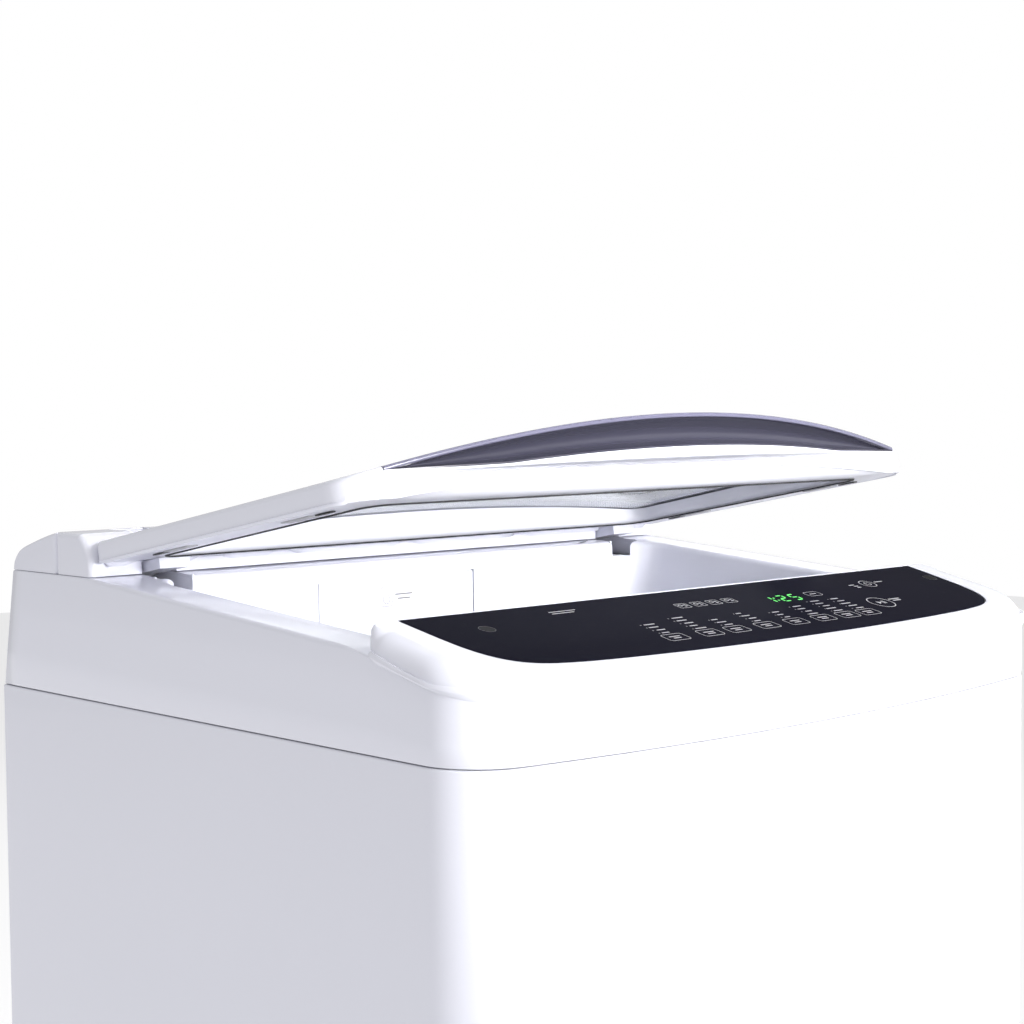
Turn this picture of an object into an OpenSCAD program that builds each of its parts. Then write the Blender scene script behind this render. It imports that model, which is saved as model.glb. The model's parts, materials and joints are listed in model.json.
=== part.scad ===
// Top load washing machine: sheet cabinet, plastic top, hinged lid, drawer,
// suspended tub with a spinning basket, a pulsator and a direct-drive motor.
// Front is -Y, up is +Z, the origin is on the floor under the middle.
// The lid is drawn a little way open; every other moving piece is at rest.

/* [Overall] */
// Width across the cabinet's sides
machine_w = 590; // [490:1:710]
// Depth from the bowed front to the ends of the water connectors
machine_d = 606; // [505:1:728]
// Height of the cabinet's top edge above the floor
seam_z = 840; // [700:1:1010]
// Depth behind the cabinet that the water connectors take up
connector_d = 46; // [30:1:60]
// How far the middle of the front bows out past its corners
front_bow = 20; // [8:1:30]
// Radius of the cabinet's upright front corners
corner_r = 46; // [30:1:60]

/* [Cabinet] */
// Thickness of the cabinet's sheet steel
sheet_t = 1; // [0.6:0.1:1.4]
// Width of the turned-in flanges of the cabinet
flange_w = 14; // [10:1:20]
// Height of the cabinet's bottom edge above the floor
base_z = 25; // [20:1:35]
// Height of the base frame
base_h = 55; // [40:1:70]
// Wall of the base frame
base_wall = 3; // [2:0.5:4]

/* [Feet] */
// Inset of each foot from the cabinet's side
foot_inset = 48; // [45:1:60]
// Radius of a foot's stud
stud_r = 6; // [5:0.5:8]
// Radius of a foot's pad
pad_r = 22; // [18:1:26]
// Height of a foot's pad
pad_h = 9; // [7:1:11]

/* [Top cover] */
// Wall of the moulded top pieces
wall = 3; // [2:0.5:4]
// Shadow gap between the cabinet and the top cover
seam_gap = 1.5; // [1:0.5:3]
// Height of the rear deck above the seam
deck_rear_h = 88.5; // [80:0.5:100]
// Height of the deck above the seam where it meets the console
deck_front_h = 64; // [58:0.5:74]
// Height of the console's lower edge above the seam at the front
console_seam_h = 44; // [36:1:50]
// Distance from the side to the inner face of the well
well_inset = 40; // [36:1:50]
// Depth of the well's bottom below the seam
well_drop = 55; // [45:1:65]
// Corner radius of the well
well_r = 30; // [20:1:40]
// Radius of the loading opening at the bottom of the well
mouth_r = 200; // [150:1:220]

/* [Console] */
// Depth of the console from the cabinet's front corner line
console_d = 107; // [95:1:120]
// Height of the console's back edge above the deck
console_rise = 15; // [12:0.5:20]
// Slope of the control panel in degrees
panel_slope = 12.9; // [8:0.1:18]
// Radius of the console's rounded shoulder
shoulder_r = 17; // [10:1:20]
// Width of the control panel at its back edge
panel_w = 527; // [400:1:640]
// Distance from the front of the machine back to the panel's front edge
panel_setback = 19; // [18:1:30]
// Thickness of the control panel
panel_t = 2; // [1.5:0.5:3]

/* [Lid] */
// Distance from the cabinet's back to the hinge axis
hinge_back = 97; // [85:1:110]
// Height of the hinge axis above the rear deck
hinge_rise = 3.5; // [3:0.5:6]
// Angle in degrees by which the drawn lid stands above its closed position
lid_rest = 15; // [0:1:60]
// Gap between the lid's side and the machine's side
lid_side_gap = 7; // [4:1:10]
// Thickness of the lid at its sides
lid_side_h = 16; // [12:1:20]
// Height of the lid's crown at the back
crown_rear_h = 28; // [24:1:30]
// Height of the lid's crown at the front
crown_front_h = 47; // [40:1:50]
// How far the middle of the lid's front edge bows out
lid_bow = 28; // [15:1:35]
// Height of the lid's apron below the handle visor
apron_h = 16; // [15:0.5:20]
// Thickness of the lid's window seal below the lid's frame
gasket_t = 0.8; // [0.4:0.1:0.8]
// Wall of the lid's shell
lid_wall = 3; // [2:0.5:4]
// Thickness of the lid's glass
glass_t = 4; // [3:0.5:5]
// Width of the lid's frame beside its window
lid_frame_w = 38; // [30:1:50]
// Width of the lid's frame in front of its window
lid_frame_front = 27; // [20:1:40]
// Radius of the hinge pins
pin_r = 5; // [4:0.5:6]
// Width of a hinge arm
arm_w = 26; // [20:1:30]
// Distance from the machine's side to the middle of a hinge arm
arm_inset = 59; // [54:1:70]

/* [Drawer] */
// Width of the drawer's front
drawer_w = 160; // [120:1:180]
// Height of the drawer's front
drawer_h = 50; // [40:1:54]
// Sideways place of the drawer's middle
drawer_x = -25; // [-40:1:40]
// Distance from the cabinet's back to the well's back wall
well_back = 150; // [140:1:160]
// Wall of the drawer and its housing
drawer_wall = 2.5; // [2:0.5:3]
// Clearance round the drawer
drawer_clear = 1.5; // [1:0.5:2]

/* [Tub] */
// Gap between the cabinet and the outer tub
tub_gap = 24; // [18:1:30]
// Wall of the outer tub
tub_wall = 3.5; // [3:0.5:5]
// Height of the outer tub's underside above the floor
tub_z = 220; // [200:1:260]
// Distance from the seam down to the outer tub's rim
tub_rim_drop = 105; // [100:1:130]
// Radius of a suspension rod
rod_r = 4; // [3:0.5:5]
// Mean radius of a suspension spring
spring_r = 13; // [11:1:16]
// Radius of a spring's wire
wire_r = 1.6; // [1.2:0.1:2]
// Turns of a suspension spring
spring_turns = 8; // [6:1:10]

/* [Basket] */
// Gap between the outer tub and the basket
basket_gap = 16.5; // [12:0.5:20]
// Wall of the basket
basket_wall = 1.2; // [0.8:0.1:2]
// Width of the balance ring
balance_w = 34; // [28:1:40]
// Height of the balance ring
balance_h = 44; // [36:1:50]
// Radius of one drain hole in the basket
perf_r = 3; // [2:0.5:4]
// Height of the pulsator's dish above the basket's base
pulsator_h = 40; // [30:1:50]

/* [Drive] */
// Radius of the wash shaft
wash_shaft_r = 10; // [8:0.5:12]
// Radius of the hollow spin shaft
spin_shaft_r = 20; // [17:0.5:24]
// Radial running clearance of shafts and pins
run_fit = 0.05; // [0.02:0.01:0.1]
// Outside radius of the motor's rotor
rotor_r = 124; // [100:1:135]
// Height of the motor's rotor
rotor_h = 54; // [44:1:60]
// Air gap between stator and rotor
air_gap = 0.8; // [0.5:0.1:1.5]

/* [Water connections] */
// Radius over the thread of an inlet spigot
spigot_r = 13.2; // [12:0.1:14]
// Bore of an inlet spigot
spigot_bore = 7; // [5:0.5:9]
// Length of an inlet spigot's thread
thread_l = 18; // [12:1:22]
// Distance between the two inlet spigots
spigot_pitch = 45; // [40:1:60]
// Radius of the drain outlet
outlet_r = 15; // [12:0.5:17]

/* [Hidden] */
$fn = 64;
eps = 0.01;

// Colours
white = [0.93, 0.93, 0.95];
off_white = [0.86, 0.86, 0.89];
black_gloss = [0.06, 0.06, 0.08];
smoke = [0.25, 0.25, 0.30];
dark_rubber = [0.12, 0.12, 0.13];
steel = [0.72, 0.73, 0.75];
zinc = [0.60, 0.61, 0.63];
copper = [0.72, 0.42, 0.25];
board_green = [0.10, 0.35, 0.20];
grey_plastic = [0.55, 0.56, 0.60];
pale_blue = [0.70, 0.78, 0.88];

// Cabinet outline
half_w = machine_w / 2;
front_y = -machine_d / 2;
back_y = machine_d / 2 - connector_d;
corner_x = half_w - corner_r;
front_rad = (corner_x * corner_x + front_bow * front_bow) / (2 * front_bow);
front_cy = front_y + front_rad;
corner_cy = front_cy - sqrt(pow(front_rad - corner_r, 2) - corner_x * corner_x);
corner_a = asin(corner_x / (front_rad - corner_r));
corner_y = front_y + front_bow;

// Top cover and deck
console_back_y = corner_y + console_d;
hinge_y = back_y - hinge_back;
hinge_z = seam_z + deck_rear_h + hinge_rise;
deck_clear = 1;
deck_run = hinge_y - console_back_y;
deck_tilt = atan((deck_rear_h + hinge_rise - deck_clear - deck_front_h) / deck_run);
level_y = hinge_y - (hinge_rise - deck_clear) / tan(deck_tilt);
rear_top_y = back_y - 17;
rear_z = seam_z + deck_rear_h;
well_x = half_w - well_inset;
well_y0 = console_back_y + 4;
well_y1 = back_y - well_back;
well_z = seam_z - well_drop;
panel_back_z = seam_z + deck_front_h + console_rise;
cover_top_z = seam_z + deck_rear_h + 31;

// Lid, in its own flat frame: x across, v forward from the hinge axis, h up
lid_angle = lid_rest - deck_tilt;
lid_half = half_w - lid_side_gap;
apron_v = deck_run - 5;
lid_front_v = deck_run - 3 + lid_bow;
lid_corner_r = 30;
lid_tail_r = 34;
lid_tail_v = 30;
trim_half = lid_half - 26;
front_edge_r = (trim_half * trim_half + lid_bow * lid_bow) / (2 * lid_bow);
window_half = lid_half - lid_frame_w;
window_v0 = hinge_y - well_y1 + 5;
window_v1 = apron_v - lid_frame_front;
arm_x = half_w - arm_inset;
pocket_half = arm_w / 2 + 2;
nose_r = lid_tail_r - 1.5;
cover_split_y = hinge_y + 15;
cover_gap = 0.6;

// Drawer
drawer_z1 = rear_z - 16;
drawer_z0 = drawer_z1 - drawer_h;
drawer_depth = 118;
face_t = wall - 0.4;
scoop_depth = 1.2;
scoop_drop = 32;
housing_gap = drawer_clear + drawer_wall;

// Tub, basket and drive
tub_y = (front_y + back_y) / 2;
tub_r = min(half_w, (back_y - front_y) / 2) - sheet_t - tub_gap + 1;
tub_in_r = tub_r - tub_wall;
tub_rim_z = seam_z - tub_rim_drop;
tub_floor_t = 6;
tub_floor_z = tub_z + tub_floor_t;
lug_z = tub_z + 180;
lug_t = 25;
rod_x = half_w - 50;
rod_front_y = corner_cy;
rod_rear_y = back_y - 57;
rod_ys = [rod_front_y, rod_rear_y];
rod_top_z = seam_z - 40;
rod_bottom_z = lug_z - 150;
bush_r = 15;
spring_seat_z = rod_bottom_z + 4;
spring_top_z = lug_z - 5;
basket_r = tub_in_r - basket_gap;
basket_in_r = basket_r - basket_wall;
basket_z = tub_floor_z + 32;
base_plate_t = 8;
base_top_z = basket_z + base_plate_t;
balance_top_z = tub_rim_z - 7;
balance_z = balance_top_z - balance_h;
balance_in_r = basket_r + 3 - balance_w;
pulsator_r = basket_in_r - 48;
pulsator_z = base_top_z + 2;
shaft_top_z = pulsator_z + 30;
plate_z = tub_z - 6;
flange_z = plate_z - 6;
bearing_top_z = flange_z + 8;
barrel_r = 42;
barrel_z = tub_z - 80;
bearing_r = 37;
bearing_h = 16;
rotor_z = barrel_z - 12;
rotor_floor = 4;
hub_top_z = barrel_z + 2;
rotor_in_r = rotor_r - 8;
stator_r = rotor_in_r - air_gap;
coupling_gap = 0.4;

// Feet
foot_x = half_w - foot_inset;
foot_front_y = corner_cy + 11;
foot_rear_y = back_y - 45;
boss_half = 30;
boss_h = 30;
nut_h = 8;
base_floor_z = base_z + sheet_t;

// Water connections
valve_x = half_w * 0.65;
spigot_z = seam_z + 50;
pump_x = -95;
pump_y = tub_y + 130;
pump_z = tub_z - 62;
outlet_x = -half_w + 95;
outlet_z = base_floor_z + base_h + 34;
gland_x = -half_w + 75;
gland_z = seam_z - 45;

// Points along an arc, from its start up to and including its end
function arc(cx, cy, r, a0, a1, n) =
    [for (k = [0:n]) [cx + r * cos(a0 + (a1 - a0) * k / n), cy + r * sin(a0 + (a1 - a0) * k / n)]];

// A list without its first item
function rest(list) = [for (k = [1:len(list) - 1]) list[k]];

// The cabinet's plan, drawn in by inset, with its back edge at back
function body_pts(inset, back) = concat(
    [[half_w - inset, back]],
    arc(corner_x, corner_cy, corner_r - inset, 0, corner_a - 90, 9),
    rest(arc(0, front_cy, front_rad - inset, corner_a - 90, -corner_a - 90, 16)),
    rest(arc(-corner_x, corner_cy, corner_r - inset, -corner_a - 90, -180, 9)),
    [[inset - half_w, back]]
);

// A rectangle with round corners
function round_rect(x0, y0, x1, y1, r) = concat(
    arc(x1 - r, y1 - r, r, 0, 90, 6), arc(x0 + r, y1 - r, r, 90, 180, 6),
    arc(x0 + r, y0 + r, r, 180, 270, 6), arc(x1 - r, y0 + r, r, 270, 360, 6)
);

// Height of the deck's top at a depth y
function deck_z(y) = min(rear_z, hinge_z - deck_clear - tan(deck_tilt) * (hinge_y - y));

// How far forward the lid's full plan reaches at x
function lid_edge(x) = lid_front_v - x * x / (2 * front_edge_r);

module prism(points, z0, z1) {
    translate([0, 0, z0]) linear_extrude(z1 - z0) polygon(points);
}

// A side view (y, z) drawn out across x from -half to half
module side_prism(points, half) {
    rotate([90, 0, 90]) translate([0, 0, -half]) linear_extrude(2 * half) polygon(points);
}

module box(x0, y0, z0, x1, y1, z1) {
    translate([x0, y0, z0]) cube([x1 - x0, y1 - y0, z1 - z0]);
}

module tube(r0, r1, z0, z1) {
    translate([0, 0, z0]) difference() {
        cylinder(h = z1 - z0, r = r1);
        translate([0, 0, -1]) cylinder(h = z1 - z0 + 2, r = r0);
    }
}

// A shape turned about the tub's axis from (radius, z) points
module turned(points) {
    translate([0, tub_y, 0]) rotate_extrude($fn = 96) polygon(points);
}

// A rod along x
module x_rod(x0, x1, y, z, r) {
    translate([x0, y, z]) rotate([0, 90, 0]) cylinder(h = x1 - x0, r = r);
}

// A rod along y
module y_rod(x, y0, y1, z, r) {
    translate([x, y1, z]) rotate([90, 0, 0]) cylinder(h = y1 - y0, r = r);
}

// ---------------------------------------------------------------- cabinet

module cabinet_wrap() {
    color(white) {
        difference() {
            prism(body_pts(0, back_y), base_z, seam_z);
            prism(body_pts(sheet_t, back_y + 1), base_z - 1, seam_z + 1);
        }
        for (z = [base_z, seam_z - sheet_t]) difference() {
            prism(body_pts(sheet_t / 2, back_y), z, z + sheet_t);
            prism(body_pts(flange_w, back_y + 1), z - 1, z + sheet_t + 1);
        }
        for (s = [-1, 1]) difference() {
            translate([s * (half_w - sheet_t / 2 - (flange_w + 6) / 2), back_y - sheet_t / 2,
                (base_z + seam_z) / 2])
                cube([flange_w + 6, sheet_t, seam_z - base_z], center = true);
            for (z = screw_zs()) y_rod(s * screw_x(), back_y - 3, back_y + 1, z, 2.1);
        }
    }
}

panel_z0 = base_z + 40;
panel_z1 = seam_z - 1;
function screw_x() = half_w - 14;
function screw_zs() = [for (k = [0:3]) panel_z0 + 25 + k * (panel_z1 - panel_z0 - 50) / 3];

module back_panel() {
    color(zinc) difference() {
        union() {
            box(6 - half_w, back_y, panel_z0, half_w - 6, back_y + sheet_t, panel_z1);
            for (x = [-150, 0, 150]) box(x - 14, back_y, panel_z0 + 130, x + 14, back_y + 4,
                panel_z1 - 110);
        }
        for (x = [-150, 0, 150])
            box(x - 14 + sheet_t, back_y - 1, panel_z0 + 131, x + 14 - sheet_t, back_y + 4 - sheet_t,
                panel_z1 - 111);
        for (s = [-1, 1], z = screw_zs()) y_rod(s * screw_x(), back_y - 3, back_y + 3, z, 2.1);
        y_rod(outlet_x, back_y - 3, back_y + 3, outlet_z, outlet_r + 0.4);
        y_rod(gland_x, back_y - 3, back_y + 3, gland_z, 10.2);
        for (x = [-30:15:30]) box(x - 3, back_y - 1, panel_z1 - 80, x + 3, back_y + 3, panel_z1 - 40);
    }
}

module back_screws() {
    color(steel) for (s = [-1, 1], z = screw_zs()) {
        y_rod(s * screw_x(), back_y - 5, back_y + sheet_t, z, 2);
        y_rod(s * screw_x(), back_y + sheet_t, back_y + sheet_t + 3, z, 4.5);
    }
}

module base_frame() {
    rim = sheet_t + 0.4;
    color(grey_plastic) difference() {
        union() {
            difference() {
                prism(body_pts(rim, back_y - sheet_t - 0.4), base_floor_z, base_floor_z + base_h);
                prism(body_pts(rim + base_wall, back_y - sheet_t - 0.4 - base_wall), base_z,
                    base_floor_z + base_h + 1);
            }
            intersection() {
                prism(body_pts(rim, back_y - sheet_t - 0.4), base_floor_z, base_floor_z + boss_h);
                for (s = [-1, 1], y = [foot_front_y, foot_rear_y]) translate([s * foot_x, y, base_z])
                    box(s > 0 ? -boss_half : -100, y < 0 ? -100 : -boss_half, 0,
                        s > 0 ? 100 : boss_half, y < 0 ? boss_half : 100, 60);
            }
        }
        for (s = [-1, 1], y = [foot_front_y, foot_rear_y])
            translate([s * foot_x, y, base_z - 1]) cylinder(h = boss_h + 4, r = stud_r + run_fit);
    }
}

module foot_lock_nuts() {
    color(zinc) for (s = [-1, 1], y = [foot_front_y, foot_rear_y]) difference() {
        translate([s * foot_x, y, base_floor_z - nut_h]) cylinder(h = nut_h, r = 10.5, $fn = 6);
        translate([s * foot_x, y, base_floor_z - nut_h - 1]) cylinder(h = nut_h + 2, r = stud_r + run_fit);
    }
}

module foot(side, y) {
    color(dark_rubber) {
        translate([side * foot_x, y, 0]) cylinder(h = pad_h - 3, r1 = pad_r, r2 = pad_r - 1.5);
        translate([side * foot_x, y, pad_h - 3]) cylinder(h = 3, r1 = pad_r - 1.5, r2 = stud_r + 3);
        translate([side * foot_x, y, pad_h]) cylinder(h = base_floor_z + boss_h + 8 - pad_h, r = stud_r);
    }
}

module foot_front_left() { foot(-1, foot_front_y); }
module foot_front_right() { foot(1, foot_front_y); }
module foot_rear_left() { foot(-1, foot_rear_y); }
module foot_rear_right() { foot(1, foot_rear_y); }

// ---------------------------------------------------------------- top cover

// Side view of the top cover, its upper edge lowered by drop
function cover_side(drop) = [
    [back_y - drop, seam_z - 10], [back_y - drop, seam_z + 4], [rear_top_y - drop, rear_z - drop],
    [level_y, rear_z - drop], [console_back_y + 7, deck_z(console_back_y + 7) - drop],
    [console_back_y - 41, seam_z + console_seam_h + 8 - drop],
        [console_back_y - 69, seam_z + console_seam_h + 1.5 - drop],
    [console_back_y - 98, seam_z + console_seam_h - drop], [front_y - 5, seam_z + console_seam_h - drop],
    [front_y - 5, seam_z - 10]
];

// Funnel that runs from the well's corners down to the loading mouth
module funnel(r, z0, z1) {
    spread = (well_x + 40 - mouth_r) / (seam_z + 32 - well_z);
    translate([0, tub_y, z0])
        cylinder(h = z1 - z0, r1 = r + spread * (z0 - well_z), r2 = r + spread * (z1 - well_z), $fn = 96);
}

module hinge_pockets(grow) {
    for (s = [-1, 1]) {
        box(s * arm_x - pocket_half - grow, well_y1 + (grow > 0 ? wall : -1), hinge_z - 18 - grow,
            s * arm_x + pocket_half + grow, hinge_y + 13 + grow, grow > 0 ? rear_z : rear_z + 5);
        box(s * (arm_x + pocket_half + wall + 10.5) - 10.5 - grow, hinge_y - 13 - grow, hinge_z - 18 - grow,
            s * (arm_x + pocket_half + wall + 10.5) + 10.5 + grow, hinge_y + 13 + grow,
                grow > 0 ? rear_z : rear_z + 5);
    }
}

module top_cover() {
    well_out = round_rect(-well_x - wall, well_y0 - wall, well_x + wall, well_y1 + wall, well_r + wall);
    well_in = round_rect(-well_x, well_y0, well_x, well_y1, well_r);
    color(white) difference() {
        union() {
            difference() {
                intersection() {
                    prism(body_pts(0, back_y), seam_z + seam_gap, rear_z + 1);
                    side_prism(cover_side(0), half_w + 1);
                }
                intersection() {
                    prism(body_pts(wall, back_y + 1), seam_z - 1, rear_z + 1);
                    side_prism(cover_side(wall), half_w + 1);
                }
            }
            difference() {
                prism(body_pts(wall - 1, back_y - 2), seam_z, seam_z + seam_gap + 3);
                prism(body_pts(wall + 2, back_y - 6), seam_z - 1, seam_z + seam_gap + 4);
            }
            intersection() {
                prism(well_out, well_z, rear_z + 1);
                side_prism(concat([[back_y, well_z], [back_y, seam_z]], rest(cover_side(0)),
                    [[front_y - 5, well_z]]), half_w);
            }
            intersection() {
                hinge_pockets(wall);
                side_prism(cover_side(0), half_w);
            }
        }
        difference() {
            prism(well_in, well_z - 1, rear_z + 2);
            difference() {
                prism(well_in, well_z, seam_z + 40);
                funnel(mouth_r, well_z - 1, seam_z + 41);
            }
        }
        intersection() {
            prism(round_rect(-well_x + wall, well_y0 + wall, well_x - wall, well_y1 - wall, well_r),
                well_z - 1, seam_z + 32);
            difference() {
                box(-well_x, well_y0, well_z - 1, well_x, well_y1, seam_z + 30);
                funnel(mouth_r + wall + 1, well_z - 2, seam_z + 31);
            }
        }
        hinge_pockets(0);
        for (s = [-1, 1]) x_rod(s * arm_x - 24, s * arm_x + 24, hinge_y, hinge_z, pin_r);
        prism(round_rect(drawer_x - drawer_w / 2 - 1, well_y1 - 1, drawer_x + drawer_w / 2 + 1,
            well_y1 + wall + 1, 0.4),
            drawer_z0 - 1, drawer_z1 + 1);
        for (k = [0, 1]) y_rod(valve_x + (k - 0.5) * spigot_pitch, rear_top_y - 12, back_y + 5,
            spigot_z, spigot_r - 1.7);
    }
}

// ---------------------------------------------------------------- rear cover

function rear_top(drop) = [
    [rear_top_y - drop, rear_z], [rear_top_y - 3 - drop, rear_z + 8.5 - drop * 0.7],
        [rear_top_y - 12 - drop * 0.8, rear_z + 16 - drop],
    [rear_top_y - 27 - drop * 0.4, rear_z + 21.5 - drop], [rear_top_y - 50, cover_top_z - 3 - drop],
    [hinge_y + 20, cover_top_z - 0.6 - drop]
];

module rear_cover() {
    front = cover_split_y + cover_gap;
    color(white) difference() {
        side_prism(concat(rear_top(0), [[front, cover_top_z], [front, rear_z]]), half_w - 1);
        side_prism(concat([[rear_top_y - wall, rear_z - 1]], rear_top(wall),
            [[front + wall, cover_top_z - wall], [front + wall, rear_z - 1]]), half_w - 1 - wall);
    }
}

module hinge_cover() {
    back = cover_split_y;
    nose = asin((rear_z - hinge_z) / nose_r);
    crown = asin((cover_top_z - hinge_z) / nose_r);
    color(white) difference() {
        side_prism(concat([[back, rear_z], [back, cover_top_z]],
            arc(hinge_y, hinge_z, nose_r, 180 - crown, 180 - nose, 8)), half_w - 1);
        side_prism(concat([[back - wall, rear_z - 1], [back - wall, cover_top_z - wall]],
            arc(hinge_y, hinge_z, nose_r - wall, 180 - crown + 3, 180 - nose + 4, 8)), half_w - 1 - wall);
        for (s = [-1, 1])
            box(s * arm_x - pocket_half, hinge_y - 40, rear_z - 1, s * arm_x + pocket_half, back - wall,
                cover_top_z + 1);
    }
}

module hinge_pins() {
    color(steel) for (s = [-1, 1])
        x_rod(s > 0 ? arm_x - pocket_half - wall : -arm_x - pocket_half - wall,
            s > 0 ? arm_x + pocket_half + wall : pocket_half + wall - arm_x, hinge_y, hinge_z, pin_r);
}

module lid_dampers() {
    x0 = arm_x + pocket_half + wall;
    color(dark_rubber) for (s = [-1, 1])
        x_rod(s > 0 ? x0 : -x0 - 18, s > 0 ? x0 + 18 : -x0, hinge_y, hinge_z, 11);
}

// ---------------------------------------------------------------- console

// A thin slab of the console's plan, drawn in by inset, lying drop below the panel's plane
module console_slab(inset, back, drop) {
    translate([0, console_back_y, panel_back_z - drop]) rotate([panel_slope, 0, 0]) linear_extrude(eps)
        polygon([for (p = body_pts(inset, back)) [p[0], (p[1] - console_back_y) / cos(panel_slope)]]);
}

// The console as one closed solid with a round shoulder, its walls drawn in by inset
module console_solid(inset) {
    steps = 6;
    r = shoulder_r;
    back = console_back_y - inset;
    hull() {
        prism(body_pts(inset, back), seam_z + 20, seam_z + 20 + eps);
        console_slab(inset, back, inset + r);
    }
    for (k = [0:steps - 1]) hull() {
        console_slab(inset + r * (1 - cos(90 * k / steps)), back, inset + r * (1 - sin(90 * k / steps)));
        console_slab(inset + r * (1 - cos(90 * (k + 1) / steps)), back,
            inset + r * (1 - sin(90 * (k + 1) / steps)));
    }
}

// The panel's plan on its own sloping plane: x across, u forward from its back edge
function panel_pts(grow) = concat(
    [[panel_w / 2 + grow, grow]],
    arc(panel_w / 2 - 21, -66, 18 + grow, 0, -72, 5),
    [for (k = [0:12]) let (x = (panel_w / 2 - 38) * (1 - k / 6))
        [x, -(console_back_y - front_y - panel_setback) / cos(panel_slope) + x * x / (2 * front_rad) - grow]],
    arc(21 - panel_w / 2, -66, 18 + grow, -108, -180, 5),
    [[-panel_w / 2 - grow, grow]]
);

module panel_slab(grow, t0, t1) {
    translate([0, console_back_y, panel_back_z]) rotate([panel_slope, 0, 0]) prism(panel_pts(grow), t0, t1);
}

module console_housing() {
    color(white) difference() {
        intersection() {
            console_solid(0);
            side_prism(concat([[console_back_y + 1, panel_back_z + 5]], [for (k = [4:8]) cover_side(0)[k]],
                [[front_y - 5, panel_back_z + 5]]), half_w + 1);
        }
        difference() {
            console_solid(wall);
            panel_slab(2, -panel_t - 2, 1);
        }
        panel_slab(0, -panel_t, 6);
        box(10, console_back_y - 60, seam_z + 20, 110, console_back_y - 20, panel_back_z + 10);
    }
}

module control_panel() {
    color(black_gloss) intersection() {
        panel_slab(-0.3, -panel_t, 0);
        box(-half_w, front_y, seam_z, half_w, console_back_y, panel_back_z + 5);
    }
}

module display_module() {
    color(dark_rubber) translate([60, console_back_y, panel_back_z]) rotate([panel_slope, 0, 0]) {
        box(-48, -58, -panel_t - 8, 48, -24, -panel_t);
    }
}

module control_board() {
    color(board_green) translate([60, console_back_y, panel_back_z]) rotate([panel_slope, 0, 0]) {
        box(-70, -80, -panel_t - 9.6, 70, -12, -panel_t - 8);
        for (x = [-60, -30, 30, 55]) box(x - 6, -76, -panel_t - 9.6, x + 6, -66, -panel_t - 3.5);
    }
}

// ---------------------------------------------------------------- lid

// Puts a child drawn in the lid's flat frame (x, -v, h) at the drawn angle
module at_lid() {
    translate([0, hinge_y, hinge_z]) rotate([-lid_angle, 0, 0]) children();
}

// Cross section of the lid at a height of crown in its middle, lowered by drop
function crown_pts(crown, drop, half) = let (
        rise = crown - lid_side_h,
        r = (lid_half * lid_half + rise * rise) / (2 * rise)
    ) concat([[half, -2], [half, crown - r + sqrt(r * r - half * half) - drop]],
        [for (k = [-9:9]) let (x = -k * half / 10) [x, crown - r + sqrt(r * r - x * x) - drop]],
        [[-half, crown - r + sqrt(r * r - half * half) - drop], [-half, -2]]);

// The lid's plan, drawn in by inset
function lid_plan(inset) = concat(
    [[lid_half - inset, 0]],
    arc(lid_half - lid_corner_r, lid_corner_r - lid_edge(lid_half - lid_corner_r), lid_corner_r - inset,
        0, -80, 6),
    [for (k = [1:17]) let (x = (lid_half - lid_corner_r) * (1 - k / 9)) [x, inset - lid_edge(x)]],
    arc(lid_corner_r - lid_half, lid_corner_r - lid_edge(lid_half - lid_corner_r), lid_corner_r - inset,
        -100, -180, 6),
    [[inset - lid_half, 0]]
);

module crown_body(drop, half) {
    run = lid_front_v - 40;
    gain = (crown_front_h - crown_rear_h) / run;
    hull() {
        translate([0, -20, 0]) rotate([90, 0, 0]) linear_extrude(eps)
            polygon(crown_pts(crown_rear_h - 14 * gain, drop, half));
        translate([0, -lid_front_v - 2, 0]) rotate([90, 0, 0])
            linear_extrude(eps) polygon(crown_pts(crown_front_h + 15 * gain, drop, half));
    }
}

// The lid's outer form, drawn in by inset, from h = low upwards
module lid_solid(inset, low) {
    difference() {
        intersection() {
            crown_body(inset, lid_half - inset);
            union() {
                prism(lid_plan(inset), apron_h + inset, 60);
                intersection() {
                    prism(lid_plan(inset), low, apron_h + inset + eps);
                    box(-lid_half, inset - apron_v, low, lid_half, 0, apron_h + inset + eps);
                }
            }
        }
        x_rod(-lid_half - 1, lid_half + 1, 0, 0, lid_tail_r + inset);
        box(-lid_half - 1, -lid_tail_v - inset, low - 1, lid_half + 1, 5, 61);
    }
}

function trim_back(x) = lid_edge(x) - 26 + 16 * pow(abs(x) / trim_half, 2);
trim_pts = concat([for (k = [-8:8]) [k * trim_half / 8, -trim_back(k * trim_half / 8)]],
    [[trim_half, -lid_front_v - 5], [-trim_half, -lid_front_v - 5]]);

module window(grow, h0, h1) {
    prism(round_rect(-window_half - grow, -window_v1 - grow, window_half + grow, -window_v0 + grow,
        14 + grow), h0, h1);
}

module lid_outer_frame() {
    color(white) at_lid() difference() {
        lid_solid(0, 0);
        lid_solid(lid_wall, -1);
        window(-6, -2, 61);
        prism(trim_pts, apron_h + 0.2, 61);
    }
}

module lid_front_trim() {
    color(smoke) at_lid() difference() {
        intersection() {
            lid_solid(0, 0);
            prism([for (p = trim_pts) [p[0] * (1 - 0.3 / trim_half), p[1] - 0.3]], apron_h + 0.4, 60);
        }
        difference() {
            lid_solid(3.5, 0);
            box(-lid_half, -apron_v - 2, apron_h, lid_half, -apron_v + 40, apron_h + 3);
        }
        prism(round_rect(-trim_half + 60, -lid_front_v - 9, trim_half - 60, -apron_v - 2, 3), apron_h,
            apron_h + 14);
    }
}

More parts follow.
